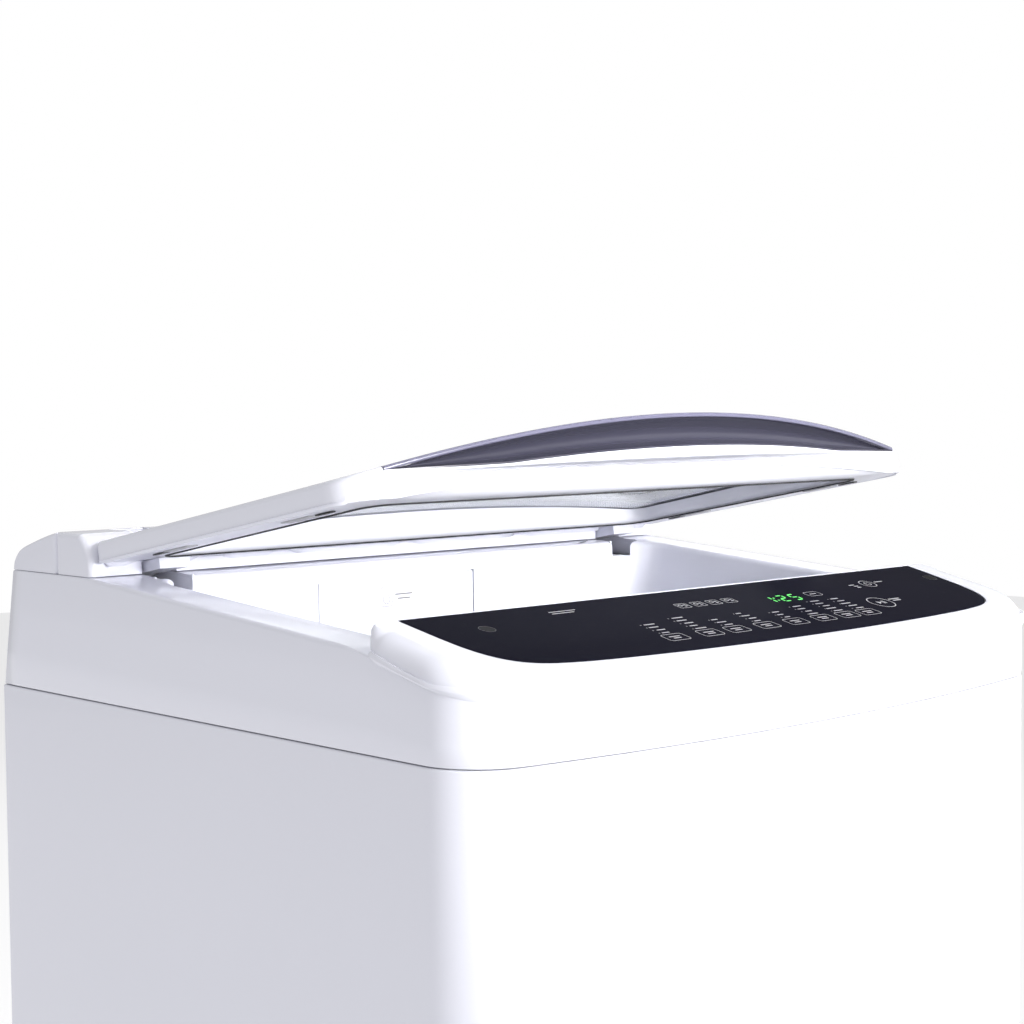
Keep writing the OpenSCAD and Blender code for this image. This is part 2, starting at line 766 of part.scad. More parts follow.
module lid_inner_frame() {
    color(off_white) at_lid() difference() {
        union() {
            prism(round_rect(-lid_half + lid_wall + 0.2, -apron_v + lid_wall + 0.2,
                lid_half - lid_wall - 0.2, -lid_tail_r - 6, 24), 0, 3);
            intersection() {
                difference() {
                    window(3, 0.5, 60);
                    window(0, 0, 61);
                }
                difference() {
                    lid_solid(lid_wall + glass_t, 0);
                    box(-lid_half, -400, -1, lid_half, 0, 0.4);
                }
            }
        }
        window(0, -1, 61);
    }
}

module lid_glass() {
    color(pale_blue, 0.5) at_lid() intersection() {
        window(5, 2, 60);
        difference() {
            lid_solid(lid_wall, 2);
            lid_solid(lid_wall + glass_t, 1);
        }
        box(-lid_half, -window_v1 - 5, 6, lid_half, 0, 60);
    }
}

module lid_gasket() {
    color(dark_rubber) at_lid() difference() {
        window(4, -gasket_t, 0);
        window(1, -gasket_t - 1, 1);
    }
}

module lid_bumpers() {
    color(dark_rubber) at_lid() for (s = [-1, 1], v = [window_v0 + 30, window_v1 - 25])
        prism(round_rect(s * (lid_half - 19) - 2.5, -v - 9, s * (lid_half - 19) + 2.5, -v + 9, 2), -0.7, 0);
}

module lid_hinge(side) {
    color(zinc) at_lid() difference() {
        union() {
            x_rod(side * arm_x - arm_w / 2, side * arm_x + arm_w / 2, 0, 0, 9);
            box(side * arm_x - arm_w / 2, well_y1 - hinge_y, -8, side * arm_x + arm_w / 2, 0, 0);
        }
        x_rod(side * arm_x - arm_w, side * arm_x + arm_w, 0, 0, pin_r + run_fit);
    }
}

module lid_hinge_left() { lid_hinge(-1); }
module lid_hinge_right() { lid_hinge(1); }

// ---------------------------------------------------------------- drawer

module drawer_shell(grow, y0, y1) {
    box(drawer_x - drawer_w / 2 + 4 - grow, y0, drawer_z0 + 3 - grow,
        drawer_x + drawer_w / 2 - 4 + grow, y1, drawer_z1 - 3 + grow);
}

module dispenser_housing() {
    y0 = well_y1 + wall;
    y1 = y0 + drawer_depth + 4;
    color(off_white) difference() {
        drawer_shell(housing_gap, y0, y1);
        drawer_shell(drawer_clear, y0 - 1, y1 - drawer_wall);
        translate([drawer_x, y1 - 24, drawer_z0 - 10]) cylinder(h = 30, r = 12);
    }
}

module detergent_drawer() {
    y0 = well_y1 + face_t;
    y1 = y0 + drawer_depth - 4;
    color(pale_blue) difference() {
        drawer_shell(0, y0, y1);
        difference() {
            box(drawer_x - drawer_w / 2 + 4 + drawer_wall, y0 + drawer_wall, drawer_z0 + 3 + drawer_wall,
                drawer_x + drawer_w / 2 - 4 - drawer_wall, y1 - drawer_wall, drawer_z1);
            box(drawer_x + 20, y0, drawer_z0, drawer_x + 20 + drawer_wall, y1, drawer_z1 - 8);
        }
    }
}

module drawer_front() {
    scoop_w = drawer_w - 10;
    scoop_plan_r = (pow(scoop_w / 2, 2) + pow(scoop_drop, 2)) / (2 * scoop_drop);
    color(white) difference() {
        box(drawer_x - drawer_w / 2, well_y1, drawer_z0, drawer_x + drawer_w / 2, well_y1 + face_t,
            drawer_z1);
        y_rod(drawer_x, well_y1 - 1, well_y1 + scoop_depth, drawer_z1 - scoop_drop + scoop_plan_r,
            scoop_plan_r);
    }
}

module softener_cap() {
    y1 = well_y1 + face_t + drawer_depth - 4 - drawer_wall;
    x0 = drawer_x + 20 + drawer_wall;
    x1 = drawer_x + drawer_w / 2 - 4 - drawer_wall;
    color(off_white) {
        box(x0, y1 - 34, drawer_z0 + 3 + drawer_wall + 20, x1, y1, drawer_z0 + 3 + drawer_wall + 22);
        translate([(x0 + x1) / 2, y1 - 17, drawer_z0 + 3 + drawer_wall]) cylinder(h = 20, r = 6);
    }
}

// ---------------------------------------------------------------- services

module inlet_valve() {
    xs = [for (k = [-0.5, 0.5]) valve_x + k * spigot_pitch];
    y1 = rear_top_y - 14;
    color(off_white) difference() {
        union() {
            box(xs[0] - 20, y1 - 30, spigot_z - 18, xs[1] + 20, y1, spigot_z + 18);
            for (x = xs) {
                y_rod(x, y1 - 1, machine_d / 2 - thread_l, spigot_z, spigot_r - 2.7);
                y_rod(x, machine_d / 2 - thread_l - 4, machine_d / 2 - thread_l, spigot_z, spigot_r + 3);
                y_rod(x, machine_d / 2 - thread_l, machine_d / 2, spigot_z, spigot_r);
                translate([x, y1 - 15, spigot_z - 48]) cylinder(h = 31, r = 14);
            }
            x_rod(drawer_x + drawer_w / 2 - 4 + housing_gap, xs[0] - 19, y1 - 15, spigot_z - 4, 8);
        }
        for (x = xs) y_rod(x, y1 - 15, machine_d / 2 + 1, spigot_z, spigot_bore);
    }
}

module pressure_sensor() {
    color(off_white) {
        translate([-half_w + 95, rear_top_y - 40, seam_z + 35]) cylinder(h = 20, r = 24);
        translate([-half_w + 95, rear_top_y - 40, seam_z + 21]) cylinder(h = 15, r = 4);
    }
}

module lid_lock() {
    z1 = deck_z(well_y1 - 70) - wall - 0.5;
    color(grey_plastic) box(well_x + wall, well_y1 - 68, z1 - 26, half_w - wall - 3, well_y1 - 12, z1);
}

module cord_gland() {
    color(dark_rubber) difference() {
        union() {
            y_rod(gland_x, back_y - 14, back_y + 12, gland_z, 10);
            y_rod(gland_x, back_y + sheet_t, back_y + 5, gland_z, 15);
        }
        y_rod(gland_x, back_y - 15, back_y + 13, gland_z, 4);
    }
}

module drain_outlet() {
    color(grey_plastic) difference() {
        union() {
            y_rod(outlet_x, back_y - 30, machine_d / 2 - 6, outlet_z, outlet_r);
            y_rod(outlet_x, back_y + sheet_t, back_y + 4, outlet_z, outlet_r + 8);
        }
        y_rod(outlet_x, back_y - 31, machine_d / 2, outlet_z, outlet_r - 3);
    }
}

// ---------------------------------------------------------------- suspension

module each_rod() {
    for (s = [-1, 1], y = rod_ys) translate([s * rod_x, y, 0]) children();
}

module rod_brackets() {
    color(zinc) difference() {
        intersection() {
            prism(body_pts(sheet_t, back_y - sheet_t), rod_top_z - 40, rod_top_z);
            for (s = [-1, 1], y = rod_ys) translate([s * rod_x, y, 0]) {
                box(s > 0 ? -20 : -100, -20, rod_top_z - 3, s > 0 ? 100 : 20, 20, rod_top_z);
                box(s * (half_w - rod_x) - 4, -20, rod_top_z - 40, s * (half_w - rod_x) + 4, 20, rod_top_z);
            }
        }
        each_rod() translate([0, 0, rod_top_z - 4]) cylinder(h = 5, r = rod_r + 2.5);
    }
}

module suspension_rods() {
    color(steel) each_rod() {
        translate([0, 0, rod_bottom_z]) cylinder(h = rod_top_z - rod_bottom_z + 1, r = rod_r);
        translate([0, 0, rod_bottom_z]) cylinder(h = 4, r = spring_r + 3);
        translate([0, 0, rod_top_z]) cylinder(h = 12, r = 10);
    }
}

// A round wire of radius wire_r wound into a helix
module coil(z0, z1) {
    steps = 10;
    sides = 5;
    count = spring_turns * steps;
    rise = (z1 - z0 - 2 * wire_r) / count;
    points = [for (k = [0:count], i = [0:sides - 1]) let (
            a = 360 * k / steps,
            r = spring_r + wire_r * cos(360 * i / sides)
        ) [r * cos(a), r * sin(a), z0 + wire_r + k * rise + wire_r * sin(360 * i / sides)]];
    faces = concat(
        [[for (i = [0:sides - 1]) i]],
        [[for (i = [0:sides - 1]) count * sides + sides - 1 - i]],
        [for (k = [0:count - 1], i = [0:sides - 1]) [k * sides + i, (k + 1) * sides + i,
            k * sides + (i + 1) % sides]],
        [for (k = [0:count - 1], i = [0:sides - 1])
            [(k + 1) * sides + i, (k + 1) * sides + (i + 1) % sides, k * sides + (i + 1) % sides]]
    );
    polyhedron(points, faces, convexity = 10);
}

module suspension_springs() {
    color(zinc) each_rod() coil(spring_seat_z, spring_top_z);
}

module rod_bushes() {
    color(grey_plastic) each_rod() difference() {
        union() {
            translate([0, 0, spring_top_z]) cylinder(h = 5, r = bush_r + 2);
            translate([0, 0, lug_z]) cylinder(h = lug_t, r = bush_r - 3);
        }
        translate([0, 0, spring_top_z - 1]) cylinder(h = lug_t + 10, r = rod_r + run_fit);
    }
}

// ---------------------------------------------------------------- tub

module outer_tub() {
    color(off_white) difference() {
        union() {
            turned([[spin_shaft_r + 14, tub_z], [tub_r - 12, tub_z], [tub_r, tub_z + 12],
                [tub_r, tub_rim_z - 10],
                [tub_r + 5, tub_rim_z - 10], [tub_r + 5, tub_rim_z], [tub_in_r, tub_rim_z],
                    [tub_in_r, tub_floor_z + 12],
                [tub_in_r - 12, tub_floor_z], [spin_shaft_r + 14, tub_floor_z]]);
            for (s = [-1, 1], y = rod_ys) {
                turn = atan2(y - tub_y, s * rod_x);
                reach = norm([rod_x, y - tub_y]) - tub_r;
                translate([0, tub_y, lug_z]) rotate([0, 0, turn])
                    translate([tub_r - 2, -18, 0]) cube([reach + bush_r + 4, 36, lug_t]);
            }
        }
        each_rod() translate([0, 0, lug_z - 1]) cylinder(h = lug_t + 2, r = bush_r - 3);
        translate([pump_x, pump_y, tub_z - 1]) cylinder(h = tub_floor_t + 2, r = 18);
    }
}

module tub_cover() {
    color(white) turned([[tub_r + 7, tub_rim_z - 8], [tub_r + 7, tub_rim_z + 8],
        [tub_r - 4, tub_rim_z + 22],
        [mouth_r + 20, tub_rim_z + 26], [mouth_r + 5, tub_rim_z + 14], [mouth_r + 5, tub_rim_z + 2],
            [mouth_r + 8, tub_rim_z + 2],
        [mouth_r + 8, tub_rim_z + 13], [mouth_r + 21, tub_rim_z + 23], [tub_r - 5, tub_rim_z + 19],
        [tub_r + 2, tub_rim_z + 8], [tub_r + 2, tub_rim_z], [tub_r + 5, tub_rim_z],
            [tub_r + 5, tub_rim_z - 8]]);
}

module drive_plate() {
    color(zinc) difference() {
        translate([0, tub_y, 0]) tube(barrel_r - 4, tub_r - 70, plate_z, tub_z);
        translate([pump_x, pump_y, plate_z - 1]) cylinder(h = 8, r = 30);
        for (a = [45:90:315]) translate([0, tub_y, 0]) rotate([0, 0, a])
            translate([tub_r - 110, 0, plate_z - 1]) cylinder(h = 8, r = 22);
    }
}

module bearing_housing() {
    color(zinc) turned([[bearing_r, flange_z + 12], [bearing_r, bearing_top_z - bearing_h],
        [spin_shaft_r + 4, bearing_top_z - bearing_h],
        [spin_shaft_r + 4, barrel_z + bearing_h + 2], [bearing_r, barrel_z + bearing_h + 2],
            [bearing_r, barrel_z + 2], [barrel_r, barrel_z + 2],
        [barrel_r, flange_z], [barrel_r + 45, flange_z], [barrel_r + 45, plate_z],
            [barrel_r - 4, plate_z], [barrel_r - 4, flange_z + 12]]);
}

module bearing(z) {
    color(steel) translate([0, tub_y, 0]) tube(spin_shaft_r + run_fit, bearing_r, z, z + bearing_h);
}

module bearing_upper() { bearing(bearing_top_z - bearing_h); }
module bearing_lower() { bearing(barrel_z + 2); }

module tub_seal() {
    color(dark_rubber) turned([[spin_shaft_r + run_fit, bearing_top_z], [spin_shaft_r + 14, bearing_top_z],
        [spin_shaft_r + 14, tub_floor_z + 4], [spin_shaft_r + 6, tub_floor_z + 4],
            [spin_shaft_r + run_fit, tub_floor_z]]);
}

module motor_stator() {
    z0 = rotor_z + rotor_floor + 12;
    z1 = rotor_z + rotor_h - 8;
    teeth = 24;
    color(copper) {
        translate([0, tub_y, 0]) tube(barrel_r, barrel_r + 22, z0, z1);
        intersection() {
            translate([0, tub_y, z0]) cylinder(h = z1 - z0, r = stator_r, $fn = 96);
            for (k = [0:teeth - 1]) translate([0, tub_y, 0]) rotate([0, 0, k * 360 / teeth]) {
                translate([barrel_r + 18, -4, z0 + 6]) cube([stator_r - barrel_r, 8, z1 - z0 - 12]);
                translate([barrel_r + 26, -6.5, z0 + 1]) cube([stator_r - barrel_r - 36, 13, z1 - z0 - 2]);
                translate([stator_r - 8, -11, z0 + 6]) cube([20, 22, z1 - z0 - 12]);
            }
        }
    }
}

module drain_pump() {
    color(grey_plastic) {
        translate([pump_x, pump_y, tub_z - 14]) cylinder(h = 14, r = 24);
        translate([pump_x, pump_y, pump_z]) cylinder(h = 49, r = 34);
        translate([pump_x, pump_y, pump_z - 26]) cylinder(h = 27, r = 24);
        y_rod(pump_x - 22, pump_y, pump_y + 62, pump_z + 12, 11);
    }
}

// The hose's own centre line, from the pump's nozzle to the outlet
hose_path = [[pump_x - 22, pump_y + 62, pump_z + 12], [pump_x - 22, pump_y + 72, pump_z + 12],
    [pump_x - 34, pump_y + 80, pump_z + 6], [pump_x - 60, back_y - 52, outlet_z + 16],
    [outlet_x + 24, back_y - 52, outlet_z + 5], [outlet_x + 5, back_y - 47, outlet_z],
        [outlet_x, back_y - 38, outlet_z],
    [outlet_x, back_y - 30, outlet_z]];

function unit(v) = v / norm(v);
function hose_dir(k) = unit(hose_path[min(k + 1, len(hose_path) - 1)] - hose_path[max(k - 1, 0)]);

module drain_hose() {
    sides = 10;
    count = len(hose_path);
    points = [for (k = [0:count - 1], i = [0:sides - 1]) let (
            d = hose_dir(k),
            u = unit(cross(d, [0, 0, 1])),
            w = cross(u, d),
            a = 360 * i / sides
        ) hose_path[k] + 11 * (cos(a) * u + sin(a) * w)];
    faces = concat(
        [[for (i = [0:sides - 1]) i]],
        [[for (i = [0:sides - 1]) (count - 1) * sides + sides - 1 - i]],
        [for (k = [0:count - 2], i = [0:sides - 1]) [k * sides + i, (k + 1) * sides + i,
            k * sides + (i + 1) % sides]],
        [for (k = [0:count - 2], i = [0:sides - 1])
            [(k + 1) * sides + i, (k + 1) * sides + (i + 1) % sides, k * sides + (i + 1) % sides]]
    );
    color(grey_plastic) polyhedron(points, faces, convexity = 6);
}

// ---------------------------------------------------------------- basket

perf_rows = 6;
perf_cols = 20;

module basket() {
    color(steel) difference() {
        turned([[basket_in_r, basket_z], [basket_r, basket_z], [basket_r, balance_z + 12],
            [basket_in_r, balance_z + 12]]);
        for (k = [0:perf_rows - 1], i = [0:perf_cols - 1])
            translate([0, tub_y, basket_z + 60 + k * (balance_z - basket_z - 100) / (perf_rows - 1)])
                rotate([0, 0, (i + (k % 2) / 2) * 360 / perf_cols]) translate([basket_in_r - 3, 0, 0])
                    rotate([0, 90, 0]) cylinder(h = basket_wall + 6, r = perf_r);
    }
}

module basket_base() {
    color(grey_plastic) turned([[spin_shaft_r, basket_z], [basket_in_r, basket_z],
        [basket_in_r, base_top_z + 22],
        [basket_in_r - 6, base_top_z + 22], [pulsator_r + 8, base_top_z + 6],
            [pulsator_r + 4, base_top_z], [spin_shaft_r, base_top_z]]);
}

module basket_hub() {
    color(zinc) translate([0, tub_y, 0]) {
        tube(spin_shaft_r, 95, basket_z - 6, basket_z);
        tube(spin_shaft_r, 32, basket_z - 20, basket_z - 6);
    }
}

module balance_ring() {
    color(white) turned([[balance_in_r, balance_z + 8], [balance_in_r + 8, balance_z],
        [basket_in_r, balance_z], [basket_in_r, balance_z + 12],
        [basket_r + 3, balance_z + 12], [basket_r + 3, balance_top_z - 6],
            [basket_r - 3, balance_top_z], [balance_in_r + 8, balance_top_z],
        [balance_in_r, balance_top_z - 8]]);
}

module lint_filters() {
    mid = (basket_z + balance_z) / 2 + 20;
    color(off_white) for (a = [0, 180]) translate([0, tub_y, mid - 90]) rotate([0, 0, a - 13])
        rotate_extrude(angle = 26, $fn = 96)
            polygon([[basket_in_r - 14, 10], [basket_in_r - 10, 0], [basket_in_r, 0],
            [basket_in_r, 180], [basket_in_r - 10, 180], [basket_in_r - 14, 170]]);
}

module spin_shaft() {
    color(steel) translate([0, tub_y, 0])
        tube(wash_shaft_r + run_fit, spin_shaft_r, hub_top_z + coupling_gap, base_top_z);
}

// ---------------------------------------------------------------- pulsator

module pulsator() {
    top = pulsator_z + pulsator_h;
    color(white) difference() {
        union() {
            turned([[wash_shaft_r, pulsator_z], [pulsator_r - 6, pulsator_z],
                [pulsator_r, pulsator_z + 5], [pulsator_r, pulsator_z + 9],
                [pulsator_r - 12, pulsator_z + 9], [90, pulsator_z + 16], [52, top - 10], [30, top],
                    [7, top],
                [7, top - 10], [4, top - 10], [4, shaft_top_z], [wash_shaft_r, shaft_top_z]]);
            for (a = [0:60:300]) translate([0, tub_y, pulsator_z + 6]) rotate([0, 0, a])
                rotate([90, 0, 0]) translate([0, 0, -9]) linear_extrude(18)
                    polygon([[40, 0], [40, pulsator_h - 14], [70, 30], [pulsator_r - 30, 18],
                        [pulsator_r - 12, 0]]);
        }
        for (a = [30:60:330], r = [90, 115, 140]) translate([0, tub_y, pulsator_z - 1]) rotate([0, 0, a])
            translate([r, 0, 0]) cylinder(h = 40, r = 3);
    }
}

module pulsator_screw() {
    top = pulsator_z + pulsator_h;
    color(steel) translate([0, tub_y, 0]) {
        translate([0, 0, shaft_top_z - 14]) cylinder(h = top - 10 - shaft_top_z + 14, r = 4);
        translate([0, 0, top - 10]) cylinder(h = 6, r = 6.5);
    }
}

module wash_shaft() {
    color(steel) translate([0, tub_y, 0]) difference() {
        translate([0, 0, rotor_z - 14]) cylinder(h = shaft_top_z - rotor_z + 14, r = wash_shaft_r);
        translate([0, 0, shaft_top_z - 14]) cylinder(h = 15, r = 4);
    }
}

module motor_rotor() {
    color(zinc) turned([[wash_shaft_r, rotor_z], [rotor_r, rotor_z], [rotor_r, rotor_z + rotor_h],
        [rotor_in_r, rotor_z + rotor_h],
        [rotor_in_r, rotor_z + rotor_floor], [spin_shaft_r + 8, rotor_z + rotor_floor],
            [spin_shaft_r + 8, hub_top_z - 2],
        [spin_shaft_r + 6, hub_top_z], [wash_shaft_r, hub_top_z]]);
}

module rotor_nut() {
    color(steel) translate([0, tub_y, 0]) difference() {
        translate([0, 0, rotor_z - 10]) cylinder(h = 10, r = 17, $fn = 6);
        translate([0, 0, rotor_z - 11]) cylinder(h = 12, r = wash_shaft_r);
    }
}

cabinet_wrap();
back_panel();
base_frame();
top_cover();
rear_cover();
hinge_cover();
console_housing();
control_panel();
display_module();
control_board();
dispenser_housing();
inlet_valve();
pressure_sensor();
cord_gland();
drain_outlet();
lid_lock();
hinge_pins();
lid_dampers();
back_screws();
foot_lock_nuts();
rod_brackets();
suspension_rods();
suspension_springs();
foot_front_left();
foot_front_right();
foot_rear_left();
foot_rear_right();
lid_outer_frame();
lid_inner_frame();
lid_glass();
lid_front_trim();
lid_gasket();
lid_bumpers();
lid_hinge_left();
lid_hinge_right();
detergent_drawer();
drawer_front();
softener_cap();
outer_tub();
tub_cover();
tub_seal();
drive_plate();
bearing_housing();
bearing_upper();
bearing_lower();
motor_stator();
drain_pump();
drain_hose();
rod_bushes();
basket();
basket_base();
basket_hub();
balance_ring();
lint_filters();
spin_shaft();
pulsator();
pulsator_screw();
wash_shaft();
motor_rotor();
rotor_nut();
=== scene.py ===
import json
import math

import bmesh
import bpy
import numpy as np
from bpy.props import FloatProperty, FloatVectorProperty, PointerProperty
from mathutils import Matrix, Vector

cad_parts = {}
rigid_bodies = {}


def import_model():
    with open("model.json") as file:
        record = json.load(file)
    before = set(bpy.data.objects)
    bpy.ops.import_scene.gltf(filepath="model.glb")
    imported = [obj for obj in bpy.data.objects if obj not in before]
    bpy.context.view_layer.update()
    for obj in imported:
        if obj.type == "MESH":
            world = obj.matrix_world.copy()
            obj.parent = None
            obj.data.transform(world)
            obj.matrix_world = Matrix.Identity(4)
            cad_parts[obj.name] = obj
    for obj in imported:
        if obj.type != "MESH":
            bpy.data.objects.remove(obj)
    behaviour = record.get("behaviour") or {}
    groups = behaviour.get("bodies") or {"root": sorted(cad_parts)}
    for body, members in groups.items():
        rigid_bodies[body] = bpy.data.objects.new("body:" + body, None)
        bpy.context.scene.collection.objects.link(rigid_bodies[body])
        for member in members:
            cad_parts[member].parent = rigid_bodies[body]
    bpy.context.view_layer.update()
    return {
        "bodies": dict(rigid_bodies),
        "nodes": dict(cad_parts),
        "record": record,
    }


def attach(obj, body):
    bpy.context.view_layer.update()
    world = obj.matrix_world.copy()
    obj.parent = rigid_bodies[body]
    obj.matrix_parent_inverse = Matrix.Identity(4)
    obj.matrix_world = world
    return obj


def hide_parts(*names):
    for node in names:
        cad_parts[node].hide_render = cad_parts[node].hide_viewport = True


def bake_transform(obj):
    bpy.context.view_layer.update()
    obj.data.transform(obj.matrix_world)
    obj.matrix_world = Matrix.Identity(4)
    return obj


bl_info = {
    "name": "Top load washing machine",
    "version": (1, 0, 0),
    "blender": (4, 5, 0),
    "location": "View3D > Sidebar > Washer",
    "description": "Builds the detailed outside and finishes of a top load washing machine",
    "category": "Add Mesh",
}

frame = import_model()
MM = 0.001

# Cabinet outline, in millimetres in the machine's frame
HALF_W = 295.0
FRONT_Y = -303.0
BACK_Y = 257.0
CORNER_R = 46.0
FRONT_BOW = 20.0
CORNER_X = HALF_W - CORNER_R
FRONT_RAD = (CORNER_X**2 + FRONT_BOW**2) / (2 * FRONT_BOW)
FRONT_CY = FRONT_Y + FRONT_RAD
CORNER_CY = FRONT_CY - math.sqrt((FRONT_RAD - CORNER_R) ** 2 - CORNER_X**2)
CORNER_A = math.degrees(math.asin(CORNER_X / (FRONT_RAD - CORNER_R)))
BASE_Z = 25.0
SEAM_Z = 840.0

# Deck, well and console
CONSOLE_BACK_Y = -176.0
HINGE_Y = 160.0
HINGE_Z = 932.0
REAR_Z = 928.5
COVER_TOP_Z = 959.5
DECK_TILT = math.atan((HINGE_Z - 1 - 904) / (HINGE_Y - CONSOLE_BACK_Y))
WELL_X = 255.0
WELL_Y0 = -172.0
WELL_Y1 = 107.0
WELL_Z = 785.0
WELL_R = 30.0
MOUTH_R = 200.0
TUB_Y = -23.0
PANEL_BACK_Z = 919.0
PANEL_SLOPE = math.radians(12.9)
PRINT_LOW = 0.02
PRINT_TOP = 0.05

# Lid, in its own flat frame: x across, v forward from the hinge axis, h up
LID_ANGLE = math.radians(15) - DECK_TILT
LID_HALF = 288.0
LID_FRONT_V = 361.0
LID_BOW = 28.0
LID_SIDE_H = 16.0
LID_CORNER_R = 30.0
TRIM_HALF = 262.0
EDGE_R = (TRIM_HALF**2 + LID_BOW**2) / (2 * LID_BOW)
APRON_V = 331.0
WINDOW_HALF = 250.0
WINDOW_V0 = 58.0
WINDOW_V1 = 304.0
ARM_X = 236.0
ARM_GAP = 15.0
LID_MID_V = 181.0
LID_MID = np.array([0.0, -LID_MID_V])

# Opening of the detergent drawer's front
DRAWER_X0 = -105.0
DRAWER_X1 = 55.0
DRAWER_Z0 = 862.5
DRAWER_Z1 = 912.5

SLOT_OF = {s["node"]: s["material_slot"] for s in frame["record"]["subparts"]}
FINISH = {}


# Outlines


def arc(cx, cy, r, a0, a1, n):
    """Points along an arc, ends included, angles in degrees."""
    a = np.radians(np.linspace(a0, a1, n + 1))
    return np.stack([cx + r * np.cos(a), cy + r * np.sin(a)], 1)


def turns(*span):
    """Cosine and sine of each angle of a range, in degrees."""
    return [(math.cos(math.radians(a)), math.sin(math.radians(a))) for a in range(*span)]


def mix(a, b, t):
    """A blend that runs from a at 0 to b at 1."""
    return a * (1 - t) + b * t


def level(plan, z):
    """Points (x, y) at the height z, which is one number or one for each point."""
    return np.column_stack([plan, np.broadcast_to(z, len(plan))])


def line(p, q, n):
    """Points from p towards q, without q."""
    return mix(np.asarray(p, float), np.asarray(q, float), np.linspace(0, 1, n, endpoint=False)[:, None])


def smooth(a, b, x):
    """0 below a, 1 above b and a soft step between them."""
    t = np.clip((np.asarray(x, float) - a) / (b - a), 0, 1)
    return t * t * (3 - 2 * t)


def body_outline(inset, back):
    """The cabinet's plan from its right back corner round the front to its left back corner."""
    right = line((HALF_W - inset, back), (HALF_W - inset, CORNER_CY), 30)
    corner = arc(CORNER_X, CORNER_CY, CORNER_R - inset, 0, CORNER_A - 90, 40)[:-1]
    front = arc(0, FRONT_CY, FRONT_RAD - inset, CORNER_A - 90, -CORNER_A - 90, 90)
    half = np.concatenate([right, corner])
    left = half[::-1] * [-1, 1]
    return np.concatenate([half, front, left])


def closed_outline(back, r, bend_steps, back_steps):
    """The cabinet's plan closed by a straight back with round corners, anticlockwise."""
    plan = body_outline(0, back - r)
    left = arc(r - HALF_W, back - r, r, 180, 90, bend_steps)[1:]
    right = arc(HALF_W - r, back - r, r, 90, 0, bend_steps)[:-1]
    return np.concatenate([plan, left, line(left[-1], right[0], back_steps)[1:], right])[::-1]


def round_rect(x0, y0, x1, y1, r, n=10, side=16):
    """A closed rectangle with round corners, anticlockwise, its last point not repeated."""
    middles = ((x1 - r, y1 - r), (x0 + r, y1 - r), (x0 + r, y0 + r), (x1 - r, y0 + r))
    bends = [arc(*middle, r, 90 * k, 90 * k + 90, n) for k, middle in enumerate(middles)]
    out = []
    for k, bend in enumerate(bends):
        out += [bend[:-1], line(bend[-1], bends[(k + 1) % 4][0], side)]
    return np.concatenate(out)


def normals(points, closed=True):
    """Outward unit normals of an outline that runs anticlockwise."""
    if closed:
        d = np.roll(points, -1, 0) - np.roll(points, 1, 0)
    else:
        d = np.gradient(points, axis=0)
    n = np.stack([d[:, 1], -d[:, 0]], 1)
    return n / np.linalg.norm(n, axis=1)[:, None]


def meet(points, centre, angles):
    """Where rays from centre at the given angles meet a closed outline."""
    p = points - centre
    q = np.roll(p, -1, 0)
    out = []
    for a in angles:
        d = np.array([math.cos(a), math.sin(a)])
        e = q - p
        det = d[0] * -e[:, 1] + e[:, 0] * d[1]
        det = np.where(np.abs(det) < 1e-12, 1e-12, det)
        t = (p[:, 0] * -e[:, 1] + e[:, 0] * p[:, 1]) / det
        s = (d[0] * p[:, 1] - d[1] * p[:, 0]) / det
        ok = (t > 0) & (s > -1e-9) & (s < 1 + 1e-9)
        out.append(centre + d * t[ok].max())
    return np.array(out)


def paired(outer, inner, centre, gap=0.007):
    """Two closed outlines resampled along the same rays, so that they can be lofted."""
    found = []
    for o in (outer, inner):
        ahead, back = np.roll(o, -1, 0) - o, o - np.roll(o, 1, 0)
        cosine = np.sum(ahead * back, 1) / np.linalg.norm(ahead, axis=1) / np.linalg.norm(back, axis=1)
        for angle, c in zip(np.arctan2(*(o - centre).T[::-1]), cosine):
            found.append((angle, c < 0.94))
    kept = []
    for angle, corner in sorted(found):
        if kept and angle - kept[-1][0] < gap:
            if corner and not kept[-1][1]:
                kept[-1] = (angle, corner)
            continue
        kept.append((angle, corner))
    a = [k[0] for k in kept]
    return meet(outer, centre, a), meet(inner, centre, a)


def deck_z(y):
    """Height of the deck's top at a depth y."""
    return np.minimum(REAR_Z, HINGE_Z - 1 - math.tan(DECK_TILT) * (HINGE_Y - np.asarray(y, float)))


def cover_z(y):
    """Height of the top cover's upper edge at a depth y, the console's seat included."""
    ys = np.array([-310, -274, -245, -217, -196, -169])
    zs = np.array([SEAM_Z + 44, SEAM_Z + 44, SEAM_Z + 45.5, SEAM_Z + 52, SEAM_Z + 58.5, float(deck_z(-169))])
    return np.where(np.asarray(y) < -169, np.interp(y, ys, zs), deck_z(y))


def panel_z(y):
    """Height of the control panel's plane at a depth y."""
    return PANEL_BACK_Z - math.tan(PANEL_SLOPE) * (CONSOLE_BACK_Y - np.asarray(y, float))


# Meshes


def clear_scene():
    """Removes everything that isn't part of the loaded frame."""
    keep = set(frame["nodes"].values()) | set(frame["bodies"].values())
    for o in list(bpy.data.objects):
        if o not in keep:
            bpy.data.objects.remove(o)


